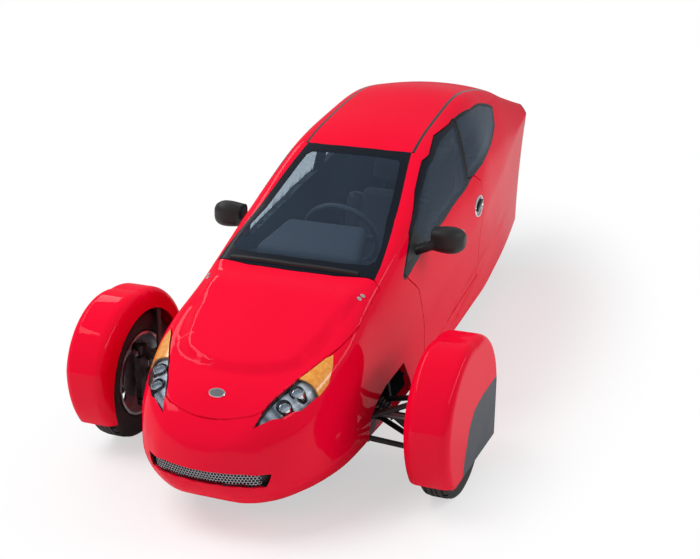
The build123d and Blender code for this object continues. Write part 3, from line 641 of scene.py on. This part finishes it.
def build_skin():
    """One grid sheet over the whole flowing body, only to read normals from."""
    bm = bmesh.new()
    bmesh.ops.create_grid(bm, x_segments=2 * ACROSS, y_segments=len(SPANS) - 1, size=1.0)
    chains = {}
    for v in bm.verts:
        j = round((v.co.y + 1) / 2 * (len(SPANS) - 1))
        s = v.co.x
        if j not in chains:
            chains[j] = half_section(values(SPANS[j], True))
        chain, lengths = chains[j]
        want = abs(s) * lengths[-1]
        k = max(i for i in range(len(lengths) - 1) if lengths[i] <= want)
        t = (want - lengths[k]) / max(lengths[k + 1] - lengths[k], 1e-9)
        p = chain[k].lerp(chain[k + 1], min(t, 1.0))
        x = math.copysign(p.x, s)
        if SPANS[j] < 0:
            share = -SPANS[j]
            p = NOSE_MIDDLE.lerp(p, share)
            v.co = spot(x * share, -NOSE_ROUND * (1 - share ** 2), p.y)
            continue
        section = values(SPANS[j], True)
        lift = swell(x, SPANS[j]) if p.y > section["crease_z"] + TOP_ABOVE else 0.0
        draw = chin(x, SPANS[j], p.y, section) if p.y < section["crease_z"] else Vector((0, 0))
        draw.x -= groove(SPANS[j], p.y) if p.x > FLANK_X else 0.0
        v.co = spot(x + draw.x * math.copysign(1, s), SPANS[j], p.y + draw.y + lift)
    bmesh.ops.recalc_face_normals(bm, faces=bm.faces)
    bm.normal_update()
    bm.faces.ensure_lookup_table()
    high = max(bm.faces, key=lambda f: f.calc_center_median().z)
    if high.normal.z < 0:
        bmesh.ops.reverse_faces(bm, faces=bm.faces)
        bm.normal_update()
    return bm


skin = build_skin()
skin_tree = BVHTree.FromBMesh(skin)


def skin_normal(p):
    """The flowing skin's normal nearest to a point, and how far off it is."""
    foot, _, index, gap = skin_tree.find_nearest(p)
    corners = skin.faces[index].verts
    weights = poly_3d_calc([v.co for v in corners], foot)
    return sum((v.normal * w for v, w in zip(corners, weights)), Vector()).normalized(), gap


print("skin has", len(skin.faces), "faces")

# %% [markdown]
# ## Panels
# Each panel is a merged copy of its solid, cut into narrow strips so that it can bend, and eased to the
# flowing shape. Its outer face takes the normals of the flowing skin, so that reflections run
# over the seams from panel to panel as they do on a real car.

# %% Panels
STRIPS = [15.0 * k for k in range(1, 24)] + [345 + 35.0 * k for k in range(1, 108)]
SHARP = 30
ON_SKIN = 0.006
ALIGNED = 0.88
INNER_NEAR = 0.004
INNER_FAR = 0.012


def slice_at(bm, point, normal, faces=None):
    """Cuts the mesh, or some of its faces, with a plane."""
    if faces is None:
        geom = bm.verts[:] + bm.edges[:] + bm.faces[:]
    else:
        edges = {e for f in faces for e in f.edges}
        geom = list({v for e in edges for v in e.verts}) + list(edges) + list(faces)
    bmesh.ops.bisect_plane(bm, geom=geom, plane_co=point, plane_no=normal, dist=1e-6)


def copied(node, strips=True, across=()):
    """A merged copy of a node's mesh, cut into strips along the car and, where asked, across."""
    bm = bmesh.new()
    bm.from_mesh(nodes[node].data)
    bmesh.ops.remove_doubles(bm, verts=bm.verts, dist=2e-5)
    low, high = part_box(node)
    for d in STRIPS if strips else ():
        if low[1] + 0.002 < at(d) < high[1] - 0.002:
            slice_at(bm, (0, at(d), 0), (0, 1, 0))
    for x in across:
        slice_at(bm, (x / 1000, 0, 0), (1, 0, 0))
    return bm


def trace(bm, line, across):
    """Cuts the mesh along a chain of points, with planes that stand along one axis."""
    for a, b in zip(line, line[1:]):
        low, high = sorted((a.y, b.y))
        near = [f for f in bm.faces if low - 0.05 < f.calc_center_median().y < high + 0.05]
        if near and (b - a).length > 1e-6:
            slice_at(bm, a, (b - a).cross(Vector(across)).normalized(), near)


def mounted(mesh, name, body, finishes, replaced):
    """Makes a mesh an object with its finishes, lets it ride on its body and stand for its solids."""
    for one in finishes:
        mesh.materials.append(FINISHES[one])
    made = linked(name, mesh)
    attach(made, body)
    if replaced:
        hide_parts(*replaced)
    print(name, len(mesh.polygons), "faces")


def settled(bm, name, body, finishes, choose=None, skinned=True, replaced=(), lining=None):
    """Eases the mesh, gives it normals and finishes, and lets it ride on its body."""
    bmesh.ops.triangulate(bm, faces=bm.faces)
    for f in bm.faces:
        f.smooth = True
        f.material_index = choose(f.calc_center_median()) if choose else f.material_index
    if skinned:
        for v in bm.verts:
            v.co = eased(v.co)
    mesh = as_mesh(bm, name)
    mesh.set_sharp_from_angle(angle=math.radians(SHARP))
    if skinned:
        known = [skin_normal(v.co) for v in mesh.vertices]
        normals = [Vector((0, 0, 0))] * len(mesh.loops)
        for face in mesh.polygons:
            for corner in face.loop_indices:
                normal, gap = known[mesh.loops[corner].vertex_index]
                if gap < ON_SKIN and normal.dot(face.normal) > ALIGNED:
                    normals[corner] = normal
            gaps = [known[v][1] for v in face.vertices]
            if lining and min(gaps) > INNER_NEAR and max(gaps) > INNER_FAR:
                face.material_index = len(finishes)
        mesh.normals_split_custom_set(normals)
    mounted(mesh, name, body, (*finishes, lining) if lining else finishes,
            replaced or (name.removesuffix("_skin"),))


def drawn(points, steps=4):
    """A smooth line through flat points, as a draughtsman's curve would run."""
    line = []
    for i in range(len(points) - 1):
        a, b, c, e = (Vector(points[min(max(k, 0), len(points) - 1)]) for k in (i - 1, i, i + 1, i + 2))
        for t in (k / steps for k in range(steps)):
            line.append(0.5 * (2 * b + (c - a) * t + (2 * a - 5 * b + 4 * c - e) * t**2
                               + (3 * b - a - 3 * c + e) * t**3))
    return [tuple(p) for p in line] + [points[-1]]


BELT = [(1130, 775), (1200, 790), (1343, 832), (1648, 884), (1893, 930), (2088, 960), (2142, 976),
        (2233, 990), (2643, 1050), (2866, 1116), (2948, 1208)]
BROW = [(2948, 1208), (2800, 1248), (2650, 1277), (2400, 1293), (2128, 1286), (1855, 1243), (1632, 1166),
        (1452, 1070), (1250, 943), (1112, 798), (1130, 775)]
BELT = BELT[:2] + drawn(BELT[2:-1]) + BELT[-1:]
BROW = drawn(BROW[:-1]) + BROW[-1:]


def window_band(bm):
    """Cuts the band of black round the side windows into a panel's mesh."""
    for line in (BELT, BROW):
        trace(bm, [spot(0, d, z) for d, z in line], (1, 0, 0))


def band_choice(centre):
    """1 for a face in the black band round the side windows."""
    return int(within(side_view(centre), BELT + BROW[1:-1]))


def door_choice(centre):
    """1 for a face of the door above its waist, which is black right up to the seam."""
    return int(within(side_view(centre), BELT + [(2948, 1400), (1000, 1400), (1100, 800)]))


for node, body in (("side_frame_left", "body"), ("side_frame_right", "body"), ("door_left", "door")):
    bm = copied(node)
    for z in range(125, 340, 20):
        ahead = [f for f in bm.faces if f.calc_center_median().y < at(900)]
        slice_at(bm, spot(0, 0, z), (0, 0, 1), ahead)
    for line, lifts in ((GROOVE_LOW, LOW_EDGE), (GROOVE_UP, UP_EDGE)):
        for lift in lifts:
            trace(bm, [spot(0, d, z + lift) for d, z in line], (1, 0, 0))
    window_band(bm)
    settled(bm, node + "_skin", body, ("red_paint", "frit"),
            door_choice if body == "door" else band_choice, lining="cabin_plastic")
GRID = range(-440, 441, 40)
PANELS = {"hood": "hood", "nose_fascia": "body", "roof_panel": "body", "rear_hatch": "hatch"}
for node, body in PANELS.items():
    bm = copied(node, across=GRID)
    if node == "nose_fascia":
        for z in range(125, 340, 13):
            slice_at(bm, spot(0, 0, z), (0, 0, 1))
        for step in range(-100, 101, 14):
            flat = [f for f in bm.faces if all(v.co.y < at(0.5) for v in f.verts)]
            slice_at(bm, spot(step, 0, 0), (1, 0, 0), flat)
            flat = [f for f in bm.faces if all(v.co.y < at(0.5) for v in f.verts)]
            slice_at(bm, spot(0, 0, 345 + step), (0, 0, 1), flat)
    settled(bm, node + "_skin", body, ("red_paint",), lining="cabin_plastic")
settled(copied("tail_panel", strips=False), "tail_panel_skin", "body", ("gloss_black",),
        skinned=False)

# %% [markdown]
# ## Glass and lamps
# The windshield has a wide black border printed on its inner side. It is cut into the mesh along
# its rounded outline, so its edge stays sharp. The other panes and the lamp covers follow the skin too.

# %% Glass and lamps
CLEAR = [(0, 938), (190, 944), (304, 960), (328, 992), (320, 1080), (288, 1240), (232, 1580), (214, 1600),
         (150, 1597), (0, 1592)]
CLEAR_ROUND = CLEAR + [(-x, d) for x, d in reversed(CLEAR) if x]


def frit_choice(centre):
    """1 for a face of the windshield's black border."""
    return int(not within((centre.x * 1000, (centre.y + NOSE) * 1000), CLEAR_ROUND))


bm = copied("windshield", across=range(-320, 321, 40))
trace(bm, [spot(x, d, 0) for x, d in CLEAR_ROUND + CLEAR_ROUND[:1]], (0, 0, 1))
settled(bm, "windshield_skin", "body", ("tinted_glass", "frit"), frit_choice)
for node, body in (("quarter_glass_left", "body"), ("side_glass_right", "body"), ("door_glass", "door"),
                   ("hatch_glass", "hatch")):
    settled(copied(node), node + "_skin", body, ("tinted_glass",))
for node, slot in (("headlamp_lenses", "clear_lens"), ("turn_lamps", "amber_lens"),
                   ("roof_mouldings", "gloss_black")):
    settled(copied(node), node + "_skin", "body", (slot,))

# %% [markdown]
# ## Small tools for new pieces
# The pieces below are new: lamps, badge, handle, springs, seats and the like. Most are round, so they
# start as a profile of a few points that is spun about an axis. Others start as a cube with rounded
# edges. Each piece is made where it sits on the car and rides on the body that carries it.

# %% Small tools for new pieces


def placed(bm, name, body, slot, finishes=None, smooth=35, replaced=()):
    """Makes a mesh an object with its finishes, and lets it ride on its body."""
    for f in bm.faces:
        f.smooth = True
    mesh = as_mesh(bm, name)
    mesh.set_sharp_from_angle(angle=math.radians(smooth))
    mounted(mesh, name, body, finishes or (slot,), replaced)


def aimed(centre, axis, side=None):
    """The matrix that sets a piece's own z along an axis, and its x near a side direction."""
    up = Vector(axis).normalized()
    across = Vector(side) if side else up.orthogonal()
    across = (across - up * across.dot(up)).normalized()
    frame_of = Matrix((across, up.cross(across), up)).transposed().to_4x4()
    return Matrix.Translation(centre) @ frame_of


def stood(x, d, z, lean=0):
    """The matrix of a place on the car, turned about its x by that many degrees."""
    return Matrix.Translation(spot(x, d, z)) @ Matrix.Rotation(math.radians(lean), 4, "X")


def turned(profile, matrix, steps=32, squeeze=1.0):
    """A round piece: a profile of (radius, height) points in metres, spun about its own z."""
    bm = bmesh.new()
    verts = [bm.verts.new((r, 0, h)) for r, h in profile]
    edges = [bm.edges.new(pair) for pair in zip(verts, verts[1:])]
    bmesh.ops.spin(bm, geom=verts + edges, cent=(0, 0, 0), axis=(0, 0, 1), angle=math.tau, steps=steps,
                   use_merge=True)
    bmesh.ops.remove_doubles(bm, verts=bm.verts, dist=1e-6)
    bmesh.ops.recalc_face_normals(bm, faces=bm.faces)
    bmesh.ops.scale(bm, vec=(1, squeeze, 1), verts=bm.verts)
    bmesh.ops.transform(bm, matrix=matrix, verts=bm.verts)
    return bm


def slab(size, matrix, edge, segments=3):
    """A box with rounded edges."""
    bm = bmesh.new()
    bmesh.ops.create_cube(bm, size=1.0)
    bmesh.ops.scale(bm, vec=size, verts=bm.verts)
    bmesh.ops.bevel(bm, geom=bm.edges[:], offset=edge, offset_type="OFFSET", segments=segments, profile=0.5,
                    affect="EDGES", material=-1, clamp_overlap=True)
    bmesh.ops.transform(bm, matrix=matrix, verts=bm.verts)
    return bm


def gather(*parts):
    """Several meshes as one, each with its own finish number."""
    whole = bmesh.new()
    for part, number in parts:
        for f in part.faces:
            f.material_index = number
        passing = as_mesh(part, "passing")
        whole.from_mesh(passing)
        bpy.data.meshes.remove(passing)
    return whole


def on_top(x, d):
    """The point of the flowing skin under a place in plan, and its normal."""
    foot = skin_tree.ray_cast(Vector((x / 1000, at(d), 3)), Vector((0, 0, -1)))[0]
    return foot, skin_normal(foot)[0]


def on_side(sign, d, z):
    """The point of the flowing skin beside a place in the side view, and its normal."""
    foot = skin_tree.ray_cast(Vector((sign * 2.0, at(d), z / 1000)), Vector((-sign, 0, 0)))[0]
    return foot, skin_normal(foot)[0]


print("tools ready")

# %% [markdown]
# ## Headlamps
# Behind the clear cover lies a plated bowl with a black rim and two round projectors. The bowl is the
# housing's own shape with its face let in, so that it has depth. Its plating is drawn in painted light:
# painted shade at its tip, a painted highlight towards the amber lamp and painted reflection bands. Each
# projector is a bright ring round a thick glass lens, spun about the line that it shines along.

# %% Headlamps


BOWL_RIM = 0.003
BOWL_DEPTH = 0.014
FACE_GAP = 0.0075
FACE_ALIGNED = 0.9


def lamp_bowl(bm):
    """Lets the face of the housing in, inside a narrow rim."""
    for v in bm.verts:
        v.co = eased(v.co)
    bm.normal_update()
    face = []
    for f in bm.faces:
        normal, gap = skin_normal(f.calc_center_median())
        if normal.dot(f.normal) > FACE_ALIGNED and gap < FACE_GAP:
            face.append(f)
    bmesh.ops.inset_region(bm, faces=face, thickness=BOWL_RIM, use_boundary=True)
    for f in bm.faces:
        f.material_index = 1
    for f in face:
        f.material_index = 0
    sunk = {v for f in face for v in f.verts}
    for v in sunk:
        v.co -= skin_normal(v.co)[0] * BOWL_DEPTH
    return bm


bm = copied("headlamp_housings")
bmesh.ops.triangulate(bm, faces=bm.faces)
settled(lamp_bowl(bm), "headlamp_bowls", "body", ("lamp_grey", "gloss_black"), skinned=False,
        replaced=("headlamp_housings",))
PROJECTORS = [((282, 210, 470), (252, 130, 640), 0.025), ((301, 262, 540), (267, 192, 690), 0.027)]
for side in (-1, 1):
    rings = []
    glass = []
    for low, high, r in PROJECTORS:
        a, b = spot(side * low[0], *low[1:]), spot(side * high[0], *high[1:])
        along_axis = (b - a).normalized()
        hit = skin_tree.ray_cast(a, along_axis)[0]
        matrix = aimed(hit - along_axis * 0.016, along_axis)
        rings.append((turned([(r * 0.72, -0.012), (r * 0.78, 0.002), (r * 0.9, 0.006), (r, 0.004),
                              (r * 1.02, -0.014)], matrix), 0))
        rings.append((turned([(0.0, -0.0115), (r * 0.72, -0.0115), (r * 0.74, -0.002)], matrix), 1))
        glass.append((turned([(r * 0.74, -0.006), (r * 0.68, 0.001), (r * 0.5, 0.006), (r * 0.25, 0.0085),
                              (0.0, 0.0092)], matrix), 0))
    name = "left" if side > 0 else "right"
    placed(gather(*rings), "projector_rings_" + name, "body", "chrome_trim", ("chrome_trim", "lamp_white"))
    placed(gather(*glass), "projector_lenses_" + name, "body", "clear_lens")

# %% [markdown]
# ## Badge, latches, handle and mirrors
# The badge on the hood is a bare oval in a bright ring. Two small latches hold the hood's rear corners.
# The door handle is a bright oval ring round a dark hollow with a grip across it. The mirrors get their
# glass, turned to the rear.

# %% Badge, latches, handle and mirrors
foot, normal = on_top(3, 149)
oval = [(0.035, -0.006), (0.035, 0.0018), (0.0335, 0.0032), (0.0305, 0.0034), (0.0285, 0.0022)]
field = [(0.0286, 0.0022), (0.016, 0.0027), (0.0, 0.003)]
matrix = aimed(foot, normal, (1, 0, 0))
badge = gather((turned(oval, matrix, 48, 0.62), 0), (turned(field, matrix, 48, 0.62), 1))
placed(badge, "badge_oval", "hood", "chrome_trim", ("chrome_trim", "grille_metal"))
LATCH = [(0.011, -0.004), (0.011, 0.003), (0.0095, 0.0045), (0.006, 0.0045), (0.0045, 0.003), (0.0, 0.003)]
latches = []
for side in (-1, 1):
    for step in (-11, 11):
        foot, normal = on_top(side * (346 + step * 0.3), 776 + step)
        latches.append((turned(LATCH, aimed(foot, normal, (1, 0, 0)), 20, 0.8), 0))
placed(gather(*latches), "hood_latches", "hood", "chrome_trim")

foot, normal = on_side(1, 2262, 828)
matrix = aimed(foot, normal, (0, 1, 0.28))
ring = [(0.058, -0.012), (0.062, 0.0), (0.066, 0.004), (0.071, 0.004), (0.074, 0.0), (0.074, -0.014)]
dish = [(0.0605, 0.0012), (0.045, 0.0008), (0.0, 0.0016)]
grip = slab((0.104, 0.022, 0.012), matrix @ Matrix.Translation((0, 0.004, 0.006)), 0.005)
handle = gather((turned(ring, matrix, 48, 0.68), 0), (turned(dish, matrix, 48, 0.68), 1), (grip, 1))
placed(handle, "door_pull", "door", "chrome_trim", ("chrome_trim", "gloss_black"), replaced=("door_handle",))

for node, body, side in (("mirror_left", "door", 1), ("mirror_right", "body", -1)):
    settled(copied(node, strips=False), node + "_skin", body, ("black_plastic",))
    matrix = aimed(spot(side * 533, 1416, 903), (0, 1, 0), (1, 0, 0))
    bright = slab((0.122, 0.084, 0.010), matrix, 0.0045, 2)
    placed(bright, node + "_glass", body, "chrome_trim")
settled(copied("wiper", strips=False), "wiper_skin", "body", ("black_plastic",))

# %% [markdown]
# ## Seats
# The car has two seats in line. Each has a cushion and a back with side bolsters, and a head rest. Foam
# under cloth has no flat faces, so rounded boxes are joined, turned into one skin, and blown up a little by
# a cloth simulation. The middle is woven and the bolsters are smooth, with a sewn seam between them.

# %% Seats


def seat_cover(ink, place):
    side = ink.node("SeparateXYZ", None, {0: place}, out="X")
    off = ink.node("Math", {"operation": "ABSOLUTE"}, {0: side})
    bolster = ease(ink, off, 0.138, 0.142)
    seam = ease(ink, off, 0.136, 0.14) * (1 - ease(ink, off, 0.14, 0.144))
    threads = {"Vector": place, "Scale": 160.0, "Distortion": 0.6}
    warp = ink.node("TexWave", {"bands_direction": "X"}, threads)
    weft = ink.node("TexWave", {"bands_direction": "Z"}, threads)
    weave = warp * weft
    hide = noise(ink, place, 420.0, 3.0)
    cloth = tone(ink, weave, rgb(0.045, 0.052, 0.066), rgb(0.12, 0.13, 0.155))
    smooth = tone(ink, hide, rgb(0.028, 0.032, 0.04), rgb(0.05, 0.055, 0.066))
    height = weave * (1 - bolster) + hide * bolster * 0.5 - seam * 4.0
    return {
        "Base Color": tone(ink, bolster, cloth, smooth),
        "Roughness": 0.82 - bolster * 0.3,
        "Normal": relief(ink, height, 0.0006),
    }


FINISHES["seat_cover"] = finish("seat_cover", {"Sheen Weight": 0.15}, seat_cover)
# Columns: place across, back and up in mm, then width, length and height in m, and the lean in degrees
SEAT_FORMS = [
    (0, 215, 108, 0.29, 0.42, 0.09, 4),
    (-188, 218, 118, 0.085, 0.41, 0.105, 4),
    (188, 218, 118, 0.085, 0.41, 0.105, 4),
    (0, 522, 395, 0.29, 0.085, 0.50, -13),
    (-183, 512, 385, 0.085, 0.11, 0.46, -13),
    (183, 512, 385, 0.085, 0.11, 0.46, -13),
    (0, 607, 722, 0.205, 0.068, 0.125, -10),
]
SEAT_VOXEL = 0.008
SEAT_FILL = 0.010
SEAT_PRESSURE = 4.0
SEAT_FRAMES = 15
SEAT_SMOOTH = 3
SEAT_ROUND = 0.42
FLOOR_Z = 150


def stuffed(name, forms, voxel, cap):
    """Joins rounded forms into one skin and lets a cloth simulation fill it."""
    made = linked(name, as_mesh(gather(*((form, 0) for form in forms)), name))
    skin_mod = made.modifiers.new("one_skin", "REMESH")
    skin_mod.mode = "VOXEL"
    skin_mod.voxel_size = voxel
    scene = bpy.context.scene
    made.data = bpy.data.meshes.new_from_object(made.evaluated_get(bpy.context.evaluated_depsgraph_get()))
    made.modifiers.clear()
    start = [v.co.copy() for v in made.data.vertices]
    cloth = made.modifiers.new("filling", "CLOTH")
    cloth.settings.use_pressure = True
    cloth.settings.uniform_pressure_force = SEAT_PRESSURE
    cloth.settings.effector_weights.gravity = 0.0
    for step in range(1, SEAT_FRAMES + 1):
        scene.frame_set(step)
    filled = made.evaluated_get(bpy.context.evaluated_depsgraph_get())
    ends = [v.co.copy() for v in filled.data.vertices]
    made.modifiers.clear()
    scene.frame_set(1)
    for v, a, b in zip(made.data.vertices, start, ends):
        move = b - a
        v.co = a + move * min(1.0, cap / max(move.length, 1e-9))
    bm = bmesh.new()
    bm.from_mesh(made.data)
    for passes in range(SEAT_SMOOTH):
        bmesh.ops.smooth_vert(bm, verts=bm.verts, factor=0.5, use_axis_x=True, use_axis_y=True,
                              use_axis_z=True)
    for f in bm.faces:
        f.smooth = True
    bm.to_mesh(made.data)
    bm.free()
    return made


for name, d, z in (("front_seat", 1560, 270), ("rear_seat", 2350, 330)):
    forms = []
    for x, back, up, wide, long, tall, lean in SEAT_FORMS:
        edge = min(long, tall, wide) * SEAT_ROUND
        forms.append(slab((wide, long, tall), stood(x, d + back, z + up, lean), edge, 4))
    cover = stuffed(name + "_cover", forms, SEAT_VOXEL, SEAT_FILL)
    cover.data.materials.append(FINISHES["seat_cover"])
    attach(cover, "body")
    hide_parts(name)
    pan = slab((0.40, 0.46, 0.06), stood(0, d + 255, z + 36), 0.02)
    foot = slab((0.34, 0.41, (z - FLOOR_Z) / 1000), stood(0, d + 265, (z + FLOOR_Z) / 2), 0.012)
    back = slab((0.34, 0.03, 0.46), stood(0, d + 578, z + 360, -13), 0.012)
    posts = [(slab((0.012, 0.012, 0.1), stood(x, d + 592, z + 650), 0.004, 2), 1) for x in (-45, 45)]
    placed(gather((pan, 0), (foot, 0), (back, 0), *posts), name + "_base", "body", "cabin_plastic",
           ("cabin_plastic", "bare_steel"))
    print(name, "cover has", len(cover.data.polygons), "faces")

# %% [markdown]
# ## Dashboard
# The dashboard is a broad grained moulding with a raised hood in front of the driver, which hides the
# lower half of the steering wheel from outside. It carries a dark screen and two round vents with bars.

# %% Dashboard
settled(copied("dashboard", strips=False), "dash_mould", "body", ("cabin_plastic",),
        skinned=False, replaced=("dashboard",))
HOOD_TILT = 16
hood_box = slab((0.46, 0.28, 0.10), stood(-8, 1168, 868, HOOD_TILT), 0.042, 6)
for v in hood_box.verts:
    v.co.x *= 1.06 - 0.22 * soft(v.co.y, at(1040), at(1310))
lip = slab((0.34, 0.05, 0.05), stood(-8, 1282, 905, HOOD_TILT), 0.02, 4)
screen = slab((0.26, 0.008, 0.075), stood(0, 1314, 868, math.degrees(-0.3)), 0.003, 2)
VENT = [(0.042, -0.02), (0.042, 0.006), (0.036, 0.009), (0.033, 0.002), (0.0, -0.006)]
vents = []
for x in (-272, 272):
    matrix = aimed(spot(x, 1226, 745), (0, 1, -0.1))
    vents.append((turned(VENT, matrix, 32), 1))
    for step in (-2, -1, 0, 1, 2):
        bar = slab((0.06, 0.004, 0.01), matrix @ Matrix.Translation((0, step * 0.012, 0.001)), 0.0015, 1)
        vents.append((bar, 0))
placed(gather((hood_box, 0), (lip, 0), (screen, 1), *vents), "dash_hood", "body", "cabin_plastic",
       ("cabin_plastic", "gloss_black"))

# %% [markdown]
# ## Grille
# The air intake holds a honeycomb mesh, which is punched from sheet metal. Six sided discs laid edge to
# edge become one sheet. Each one is inset and its middle is taken out, the sheet gets its thickness,
# and then it is bent to lie just behind the skin of the nose. A black plate closes the intake behind it.

# %% Grille
CELL = 0.0072
CELL_EDGE = 0.0011
COMB_T = 0.005
PLATE_T = 0.003
COMB_DEPTH = 0.016
PLATE_DEPTH = 0.034
PLATE_HALF = (0.252, 0.032, 1)
GRILLE_Z = 0.282


def behind_nose(x, z, depth):
    """The point that far behind the nose's skin."""
    foot = skin_tree.ray_cast(Vector((x, -4, z)), Vector((0, 1, 0)))[0]
    return foot + Vector((0, depth, 0))


comb = bmesh.new()
for j in range(-2, 3):
    for i in range(-17, 18):
        shift = (i + (j % 2) * 0.5) * CELL * math.sqrt(3)
        middle = Matrix.Translation((shift, j * CELL * 1.5, 0))
        bmesh.ops.create_circle(comb, cap_ends=True, segments=6, radius=CELL, matrix=middle)
bmesh.ops.remove_doubles(comb, verts=comb.verts, dist=1e-4)
cells = comb.faces[:]
bmesh.ops.inset_individual(comb, faces=cells, thickness=CELL_EDGE, use_even_offset=True)
bmesh.ops.delete(comb, geom=cells, context="FACES")
bmesh.ops.solidify(comb, geom=comb.faces[:], thickness=COMB_T)
plate = bmesh.new()
bmesh.ops.create_grid(plate, x_segments=28, y_segments=4, size=1.0)
bmesh.ops.scale(plate, vec=PLATE_HALF, verts=plate.verts)
bmesh.ops.solidify(plate, geom=plate.faces[:], thickness=PLATE_T)
for bm, depth in ((comb, COMB_DEPTH), (plate, PLATE_DEPTH)):
    for v in bm.verts:
        v.co = behind_nose(v.co.x, GRILLE_Z + v.co.y, depth + v.co.z)
placed(gather((comb, 0), (plate, 1)), "grille_mesh", "body", "grille_metal",
       ("grille_metal", "black_plastic"), replaced=("lower_grille",))

# %% [markdown]
# ## Tyres
# A road tyre has ribs round its tread and short slots across its shoulders. The ribs are in the profile
# that is spun, so they stay true all the way round. The slots are every third face of the shoulder,
# pressed in afterwards.

# %% Tyres
TREAD = [(0.191, 0.054), (0.203, 0.064), (0.232, 0.0698), (0.262, 0.067), (0.280, 0.060), (0.288, 0.0525),
         (0.2915, 0.047), (0.2925, 0.037), (0.286, 0.0355), (0.286, 0.032), (0.2945, 0.0305), (0.295, 0.013),
         (0.288, 0.0115), (0.288, 0.0085), (0.295, 0.007)]
LOOP = TREAD + [(r, -h) for r, h in reversed(TREAD)] + [(0.198, -0.05), (0.198, 0.05), TREAD[0]]
STEPS = 96
SLOT_EVERY = 3
SLOT_PRESS = 0.982
SHOULDER_R = 0.286
AXLE_Z = 295
for name, x, d in (("front_left", 752, 782), ("front_right", -752, 782), ("rear", 0, 3576)):
    bm = turned(LOOP, Matrix(), STEPS)
    slots = []
    for f in bm.faces:
        middle = f.calc_center_median()
        step = int((math.atan2(middle.y, middle.x) / math.tau + 1) * STEPS)
        if 0.036 < abs(middle.z) < 0.0545 and middle.to_2d().length > SHOULDER_R and step % SLOT_EVERY == 0:
            slots.append(f)
    for f in bmesh.ops.extrude_discrete_faces(bm, faces=slots)["faces"]:
        bmesh.ops.scale(bm, vec=(SLOT_PRESS, SLOT_PRESS, 1), verts=f.verts)
    bmesh.ops.transform(bm, matrix=aimed(spot(x, d, AXLE_Z), (1, 0, 0)), verts=bm.verts)
    placed(bm, "tyre_" + name + "_tread", "wheel_" + name, "tyre_rubber", smooth=28,
           replaced=("tyre_" + name,))

# %% [markdown]
# ## Dampers and springs
# A damper with a coil spring round its rod leans from each front lower arm to the body. The damper is spun
# from a profile. The spring is a small circle that is carried round the rod while it climbs.

# %% Dampers and springs
DAMPER = [(0.0, -0.002), (0.013, 0.0), (0.017, 0.02), (0.017, 0.12), (0.027, 0.122), (0.027, 0.127),
          (0.009, 0.13), (0.009, 0.205), (0.027, 0.207), (0.027, 0.212), (0.013, 0.216), (0.013, 0.258),
          (0.0, 0.26)]
COILS = 5
TURN_STEPS = 18
COIL_R = 0.022
WIRE_R = 0.0042
SPRING_FOOT = 0.128
SPRING_RISE = 0.078
for side in (-1, 1):
    foot, head = spot(side * 590, 840, 201), spot(side * 375.3, 840, 348)
    matrix = aimed(foot, head - foot)
    wire = bmesh.new()
    start = Matrix.Translation((COIL_R, 0, SPRING_FOOT)) @ Matrix.Rotation(math.pi / 2, 4, "X")
    ring = bmesh.ops.create_circle(wire, cap_ends=False, segments=8, radius=WIRE_R, matrix=start)["verts"]
    rim = list({e for v in ring for e in v.link_edges})
    bmesh.ops.spin(wire, geom=ring + rim, cent=(0, 0, 0), axis=(0, 0, 1), angle=math.tau * COILS,
                   dvec=(0, 0, SPRING_RISE / COILS / TURN_STEPS), steps=COILS * TURN_STEPS)
    bmesh.ops.holes_fill(wire, edges=[e for e in wire.edges if e.is_boundary], sides=8)
    bmesh.ops.recalc_face_normals(wire, faces=wire.faces)
    bmesh.ops.transform(wire, matrix=matrix, verts=wire.verts)
    placed(gather((turned(DAMPER, matrix, 24), 0), (wire, 1)), "damper_" + ("left" if side > 0 else "right"),
           "body", "bare_steel", ("black_steel", "bare_steel"), replaced=("dampers",) if side > 0 else ())

# %% [markdown]
# ## Tail
# The tail is a flat black panel whose foot lies further forward than its top. It carries two red lamps,
# each with two round reflectors in bright rings, and a blank plate in a black frame, all square to it.

# %% Tail
TAIL_AXIS = Vector((0, 0.9903, -0.1387))
TAIL_SLOPE = 0.14
LAMP_X = 158
LAMP_D = 4058
LAMP_Z = 905
LAMP_T = 0.014
lamps = []
for side in (-1, 1):
    for z, r in ((LAMP_Z, 0.038), (842, 0.022)):
        middle = spot(side * LAMP_X, LAMP_D - (LAMP_Z - z) * TAIL_SLOPE, z) + TAIL_AXIS * LAMP_T
        matrix = aimed(middle, TAIL_AXIS, (1, 0, 0))
        lens = [(r, -0.004), (r, 0.008), (r * 0.9, 0.011), (r * 0.8, 0.006), (r * 0.4, 0.0085), (0.0, 0.0095)]
        bezel = [(r * 1.14, -0.004), (r * 1.14, 0.006), (r * 1.06, 0.008), (r, 0.006)]
        lamps.append((turned(lens, matrix, 32), 0))
        lamps.append((turned(bezel, matrix, 32), 1))
settled(copied("tail_lamps", strips=False), "tail_lamps_skin", "body", ("red_lens",),
        skinned=False)
placed(gather(*lamps), "tail_lamp_rings", "body", "red_lens", ("red_lens", "chrome_trim"))
matrix = aimed(spot(0, 4013, 560), TAIL_AXIS, (1, 0, 0))
sheet = slab((0.30, 0.15, 0.004), matrix, 0.0015, 2)
frame_bar = slab((0.32, 0.17, 0.008), matrix @ Matrix.Translation((0, 0, -0.005)), 0.003, 2)
screws = []
for x in (-0.11, 0.11):
    head = matrix @ Matrix.Translation((x, 0.055, 0))
    screws.append((turned([(0.005, 0.0), (0.005, 0.0035), (0.0, 0.0045)], head, 12), 2))
placed(gather((sheet, 0), (frame_bar, 1), *screws), "number_plate", "body", "chrome_trim",
       ("plate", "black_plastic", "chrome_trim"))
